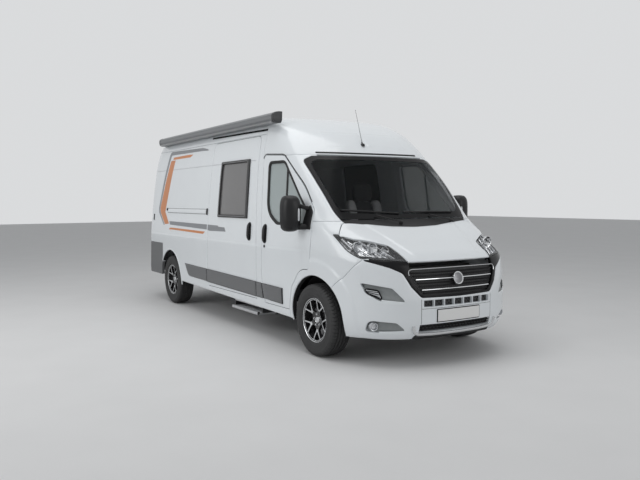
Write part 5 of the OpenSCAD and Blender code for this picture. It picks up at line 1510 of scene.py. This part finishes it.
face_outline = np.array([polar(0.2065, d) for d in np.linspace(0, 360, 120, endpoint=False)])
spoke_turn = 26
windows = []
for k in range(5):
    a = 72 * k + spoke_turn
    windows.append(window([(0.196, a - 15.0), (0.1975, a), (0.196, a + 15.0), (0.122, a + 3.6),
                           (0.122, a - 3.6)], 0.004))
    windows.append(window([(0.196, a + 20.5), (0.1975, a + 36), (0.196, a + 51.5), (0.104, a + 62),
                           (0.083, a + 54), (0.078, a + 36), (0.083, a + 18), (0.104, a + 10)], 0.005))
flat, face_tris = fill([face_outline, *windows], 0.009)
face_r = np.hypot(flat[:, 0], flat[:, 1])
face_points = np.column_stack((flat[:, 0], face_dish(face_r), flat[:, 1]))
face_normals = np.tile((0.0, 1.0, 0.0), (len(flat), 1))
face_verts, face_solid = sheet_solid(face_points, face_normals, face_tris, 0.030, 0.003)
front_count = len(face_tris)
face_groups = [1 if k < front_count else 0 for k in range(len(face_solid))]
hub_r = np.array([np.hypot(*face_verts[list(f)][:, [0, 2]].mean(0)) for f in face_solid])
face_groups = [0 if r < 0.094 else g for r, g in zip(hub_r, face_groups)]


def join(parts):
    """One mesh from (points, faces, material place) parts."""
    verts, faces, groups, total = [], [], [], 0
    for points, tris, group in parts:
        verts.append(points)
        faces += [tuple(i + total for i in f) for f in tris]
        groups += list(group) if hasattr(group, "__len__") else [group] * len(tris)
        total += len(points)
    return np.vstack(verts), faces, groups


def spun(profile, steps=96):
    """A shape turned about Y from a closed line of [radius, across] points."""
    return loft(around(np.array([(r, y, 0, 0) for r, y in profile]), steps), closed=True)


def stud(profile, steps):
    """A shape turned about Y from [across, radius] points, closed at its ends."""
    return loft([ring[:, [1, 0, 2]] for ring in turned(profile, steps)])


WHEELS = [
    # name, ahead, across
    ("front_left", axle_f, 0.905), ("front_right", axle_f, -0.905),
    ("rear_left", axle_r, 0.895), ("rear_right", axle_r, -0.895),
]
wheel_z = 0.358
tyre_verts, tyre_faces = loft(around(tyre_profile, tyre_steps), closed=True)
barrel_verts, barrel_faces = spun(BARREL)
brake_verts, brake_faces = spun(BRAKE)
cap_verts, cap_tris = stud(CAP, 40)
bolt_verts, bolt_tris = stud(BOLT, 6)
lip_groups = []
for f in barrel_faces:
    x, y, z = barrel_verts[list(f)].T
    r, y = np.hypot(x, z).min(), y.min()
    lip_groups.append(1 if r > 0.2100 and y > 0.0950 else 0)
rim_parts = [(face_verts, face_solid, face_groups), (barrel_verts, barrel_faces, lip_groups),
             (cap_verts, cap_tris, 1)]
for k in range(5):
    at = polar(0.056, 72 * k + spoke_turn + 36)
    rim_parts.append((bolt_verts + (at[0], 0.055, at[1]), bolt_tris, 1))
rim_parts.append((brake_verts, brake_faces, 2))
rim_verts, rim_faces, rim_groups = join(rim_parts)
for name, x, y in WHEELS:
    flip = (1, 1 if y > 0 else -1, 1)
    at = (x, y, wheel_z)
    piece(f"tyre_{name}_tread", tyre_verts * flip + at, tyre_faces, tyre_rubber, f"wheel_{name}",
          (f"tyre_{name}",), "tyre", sharp=30)
    piece(f"rim_{name}_alloy", rim_verts * flip + at, rim_faces, [rim_black, rim_bright, disc_iron],
          f"wheel_{name}", (f"rim_{name}",), "rim", groups=rim_groups)

# Cab seats: two padded seats on boxes, light grey bolsters with dark middles and headrests. Each is built
# of foam pads in sewn covers over a steel frame.
seat_light = Finish("seat_light_cloth")
weave = seat_light.noise(900, 2.0, (1, 1, 0.4))
seat_light.set(Base_Color=seat_light.tint(weave, (0.50, 0.505, 0.51), (0.62, 0.625, 0.63)),
               Roughness=weave * 0.1 + 0.82)
seat_light.bump(weave, 0.0006)
seat_dark = Finish("seat_dark_cloth")
weave = seat_dark.noise(700, 2.0, (1, 1, 0.4))
seat_dark.set(Base_Color=seat_dark.tint(weave, (0.020, 0.020, 0.022), (0.045, 0.045, 0.048)),
              Roughness=weave * 0.1 + 0.82)
seat_dark.bump(weave, 0.0006)


def pad(name, centre, size, made, tilt=0.0, crown=0.012, power=4.0):
    """A stuffed cushion: a rounded block, crowned on all its faces, tilted about Y."""
    rings = []
    for t in np.linspace(-1, 1, 17):
        grow = (1 - abs(t) ** 6) ** 0.5 if abs(t) < 1 else 0.02
        section = oval(size[1] * (0.25 + 0.75 * grow), size[2] * (0.25 + 0.75 * grow), 36, power)
        swell = 1 + crown / max(size) * (1 - t * t)
        rings.append(np.column_stack((np.full(36, size[0] * t), section * swell)))
    verts, faces = loft(rings)
    c, s = math.cos(tilt), math.sin(tilt)
    turn = np.array([(c, 0, s), (0, 1, 0), (-s, 0, c)])
    made_piece = piece(name, verts @ turn.T + centre, faces, made, "body", slot="fabric", sharp=60)
    return made_piece


SEAT_PADS = [
    # part, centre ahead, across from the seat's middle, up, half sizes, tilt, cloth
    ("cushion", 1.165, 0.0, 0.880, (0.235, 0.150, 0.065), 0.10, "dark"),
    ("cushion_left", 1.165, 0.195, 0.890, (0.235, 0.055, 0.075), 0.10, "light"),
    ("cushion_right", 1.165, -0.195, 0.890, (0.235, 0.055, 0.075), 0.10, "light"),
    ("back", 0.930, 0.0, 1.225, (0.055, 0.150, 0.285), 0.20, "dark"),
    ("back_left", 0.945, 0.190, 1.225, (0.070, 0.060, 0.295), 0.20, "light"),
    ("back_right", 0.945, -0.190, 1.225, (0.070, 0.060, 0.295), 0.20, "light"),
    ("headrest", 0.875, 0.0, 1.625, (0.048, 0.125, 0.100), 0.12, "dark"),
]
seat_y = 0.42
SEAT_BASE = [
    # height, half length, half width
    (0.545, 0.21, 0.20), (0.56, 0.215, 0.205), (0.79, 0.215, 0.215), (0.825, 0.22, 0.22),
]
for side, y in (("left", seat_y), ("right", -seat_y)):
    for part, x, off, z, size, tilt, cloth in SEAT_PADS:
        made = (seat_dark if cloth == "dark" else seat_light).material
        pad(f"seat_{side}_{part}", np.array((x, y + off, z)), size, made, -tilt)
    rings = [np.column_stack((oval(w, d, 32, 6) + (1.11, y), np.full(32, z))) for z, w, d in SEAT_BASE]
    lofted(f"seat_{side}_base", rings, cowl_black, "body", slot="trim")
    for k, off in enumerate((-0.05, 0.05)):
        lofted(f"seat_{side}_post_{k}", rod([(0.900, y + off, 1.47), (0.889, y + off, 1.54),
                                             (0.880, y + off, 1.60)], 0.006), chrome, "body", slot="steel")
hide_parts("seats")

# Steering wheel: a leather rim on three spokes with a soft boss, fixed on a short column. It turns with the
# front wheels.
leather = finish("wheel_leather", (0.016, 0.016, 0.017), (0.028, 0.028, 0.029), 0.5, 260, 0.12, 0.0004)
wheel_at = np.array((axle_f - 0.520, seat_y, 1.150))
column_tilt = math.radians(62)
column_axis = np.array((-math.sin(column_tilt), 0, math.cos(column_tilt)))
wheel_up = np.array((math.cos(column_tilt), 0, math.sin(column_tilt)))
wheel_side = np.array((0.0, 1.0, 0.0))


def on_wheel(across, up, out):
    """Points of the steering wheel from places across, up and out along the column."""
    return wheel_at + np.outer(across, wheel_side) + np.outer(up, wheel_up) + np.outer(out, column_axis)


turns = np.linspace(0, 2 * math.pi, 72, endpoint=False)
rim_section = oval(0.016, 0.013, 12)
rings = []
for a in turns:
    r = 0.179 + rim_section[:, 0]
    rings.append(on_wheel(r * math.sin(a), r * math.cos(a), rim_section[:, 1]))
parts = [(*loft(rings, closed=True), 0)]
for a in (math.pi / 2, -math.pi / 2, math.pi):
    rings = []
    for t in np.linspace(0.04, 0.178, 9):
        section = oval(0.030 - 0.06 * (t - 0.04), 0.008, 12, 3)
        rings.append(on_wheel(t * math.sin(a) + section[:, 0] * math.cos(a),
                              t * math.cos(a) - section[:, 0] * math.sin(a),
                              section[:, 1] - 0.030 * (1 - t / 0.178)))
    parts.append((*loft(rings), 0))
BOSS = [(0.050, -0.060), (0.078, -0.045), (0.080, -0.022), (0.070, -0.010), (0.040, -0.004), (0.005, -0.002)]
rings = [on_wheel(*(oval(w, w * 0.86, 36, 3).T), np.full(36, h)) for w, h in BOSS]
parts.append((*loft(rings), 0))
COLUMN = [(0.034, -0.300), (0.036, -0.16), (0.045, -0.09), (0.045, -0.055)]
rings = [on_wheel(*(oval(w, w, 24).T), np.full(24, h)) for w, h in COLUMN]
parts.append((*loft(rings), 0))
verts, faces, _ = join(parts)
piece("steering_wheel_rim", verts, faces, leather, "steering_wheel", ("steering_wheel",), "trim")

# Carried-over shapes: the floor, frame, axles, knuckles, engine, tanks, wheel boxes, posts, dashboard and
# step stay solid and get their own finishes: painted steel, cast iron, moulded plastic or brushed aluminium.
floor_steel = finish("floor_steel", (0.050, 0.050, 0.052), (0.085, 0.085, 0.088), 0.65, 14, 0.2, 0.0006)
frame_paint = finish("frame_paint", (0.020, 0.020, 0.021), (0.035, 0.035, 0.036), 0.5, 22, 0.2, 0.0005)
cast_iron = finish("cast_iron", (0.055, 0.054, 0.052), (0.10, 0.098, 0.095), 0.6, 70, 0.2, 0.0012,
                   Metallic=0.6)
tank_plastic = finish("tank_plastic", (0.018, 0.018, 0.018), (0.030, 0.030, 0.030), 0.6, 60, 0.15, 0.0008)
step_metal = finish("step_aluminium", (0.52, 0.53, 0.54), (0.64, 0.65, 0.66), 0.35, 90, 0.15, 0.0002,
                    stretch=(0.1, 1, 1), Metallic=0.9)
dash_plastic = finish("dash_plastic", (0.024, 0.024, 0.026), (0.040, 0.040, 0.042), 0.6, 300, 0.12, 0.0006)
CARRIED = {
    "floor": floor_steel, "chassis_frame": frame_paint, "front_axle": frame_paint, "rear_axle": frame_paint,
    "engine": cast_iron, "tanks": tank_plastic, "wheel_boxes": liner_black, "door_posts": frame_paint,
    "step_frame": frame_paint, "entry_step": step_metal, "dashboard": dash_plastic,
    "knuckle_left": cast_iron, "knuckle_right": cast_iron,
}
for name, made in CARRIED.items():
    slots = cad[name].data.materials
    slots.clear()
    slots.append(made)

# Entry step: a ribbed aluminium tread with a rounded nose and black end caps, which slides on its rods, under
# a housing with a pale aluminium face.
RIB_Y = np.arange(-0.952, -0.752, 0.018)
ribs = [(y + off, z) for y in RIB_Y for off, z in ((0.0, 0.2448), (0.002, 0.2475), (0.009, 0.2475),
                                                   (0.011, 0.2448))]
TREAD = np.array([(-0.980, 0.2212), (-0.986, 0.2260), (-0.9875, 0.2400), (-0.9850, 0.2525),
                  (-0.9780, 0.2570), (-0.9660, 0.2570), (-0.9605, 0.2530), (-0.9590, 0.2448), *ribs,
                  (-0.7445, 0.2448), (-0.7445, 0.2212)])
NOSE = TREAD[:8]
FACE = np.array([(-0.9280, 0.2985), (-0.9335, 0.3030), (-0.9350, 0.3100), (-0.9350, 0.3350),
                 (-0.9325, 0.3420), (-0.9260, 0.3465), (-0.9155, 0.3465), (-0.9155, 0.2985)])
step_x = (0.099, 0.801)
lofted("step_tread", along_x(TREAD, [(step_x[0], 1), (step_x[1], 1)]), step_metal, "entry_step",
       slot="step", sharp=25)
for name, x, way in (("front", step_x[1], 1), ("rear", step_x[0], -1)):
    lofted(f"step_cap_{name}", along_x(NOSE, [(x - way * 0.012, 1.03), (x + way * 0.002, 1.03),
                                              (x + way * 0.004, 0.94)]), cowl_black, "entry_step",
           slot="black_plastic")
lofted("step_housing_face", along_x(FACE, [(0.0925, 1), (0.8075, 1)]), step_metal, "body", slot="step",
       sharp=25)

size = {"cad": [list(p) for p in cad_box], "scene": [list(p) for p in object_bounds()]}
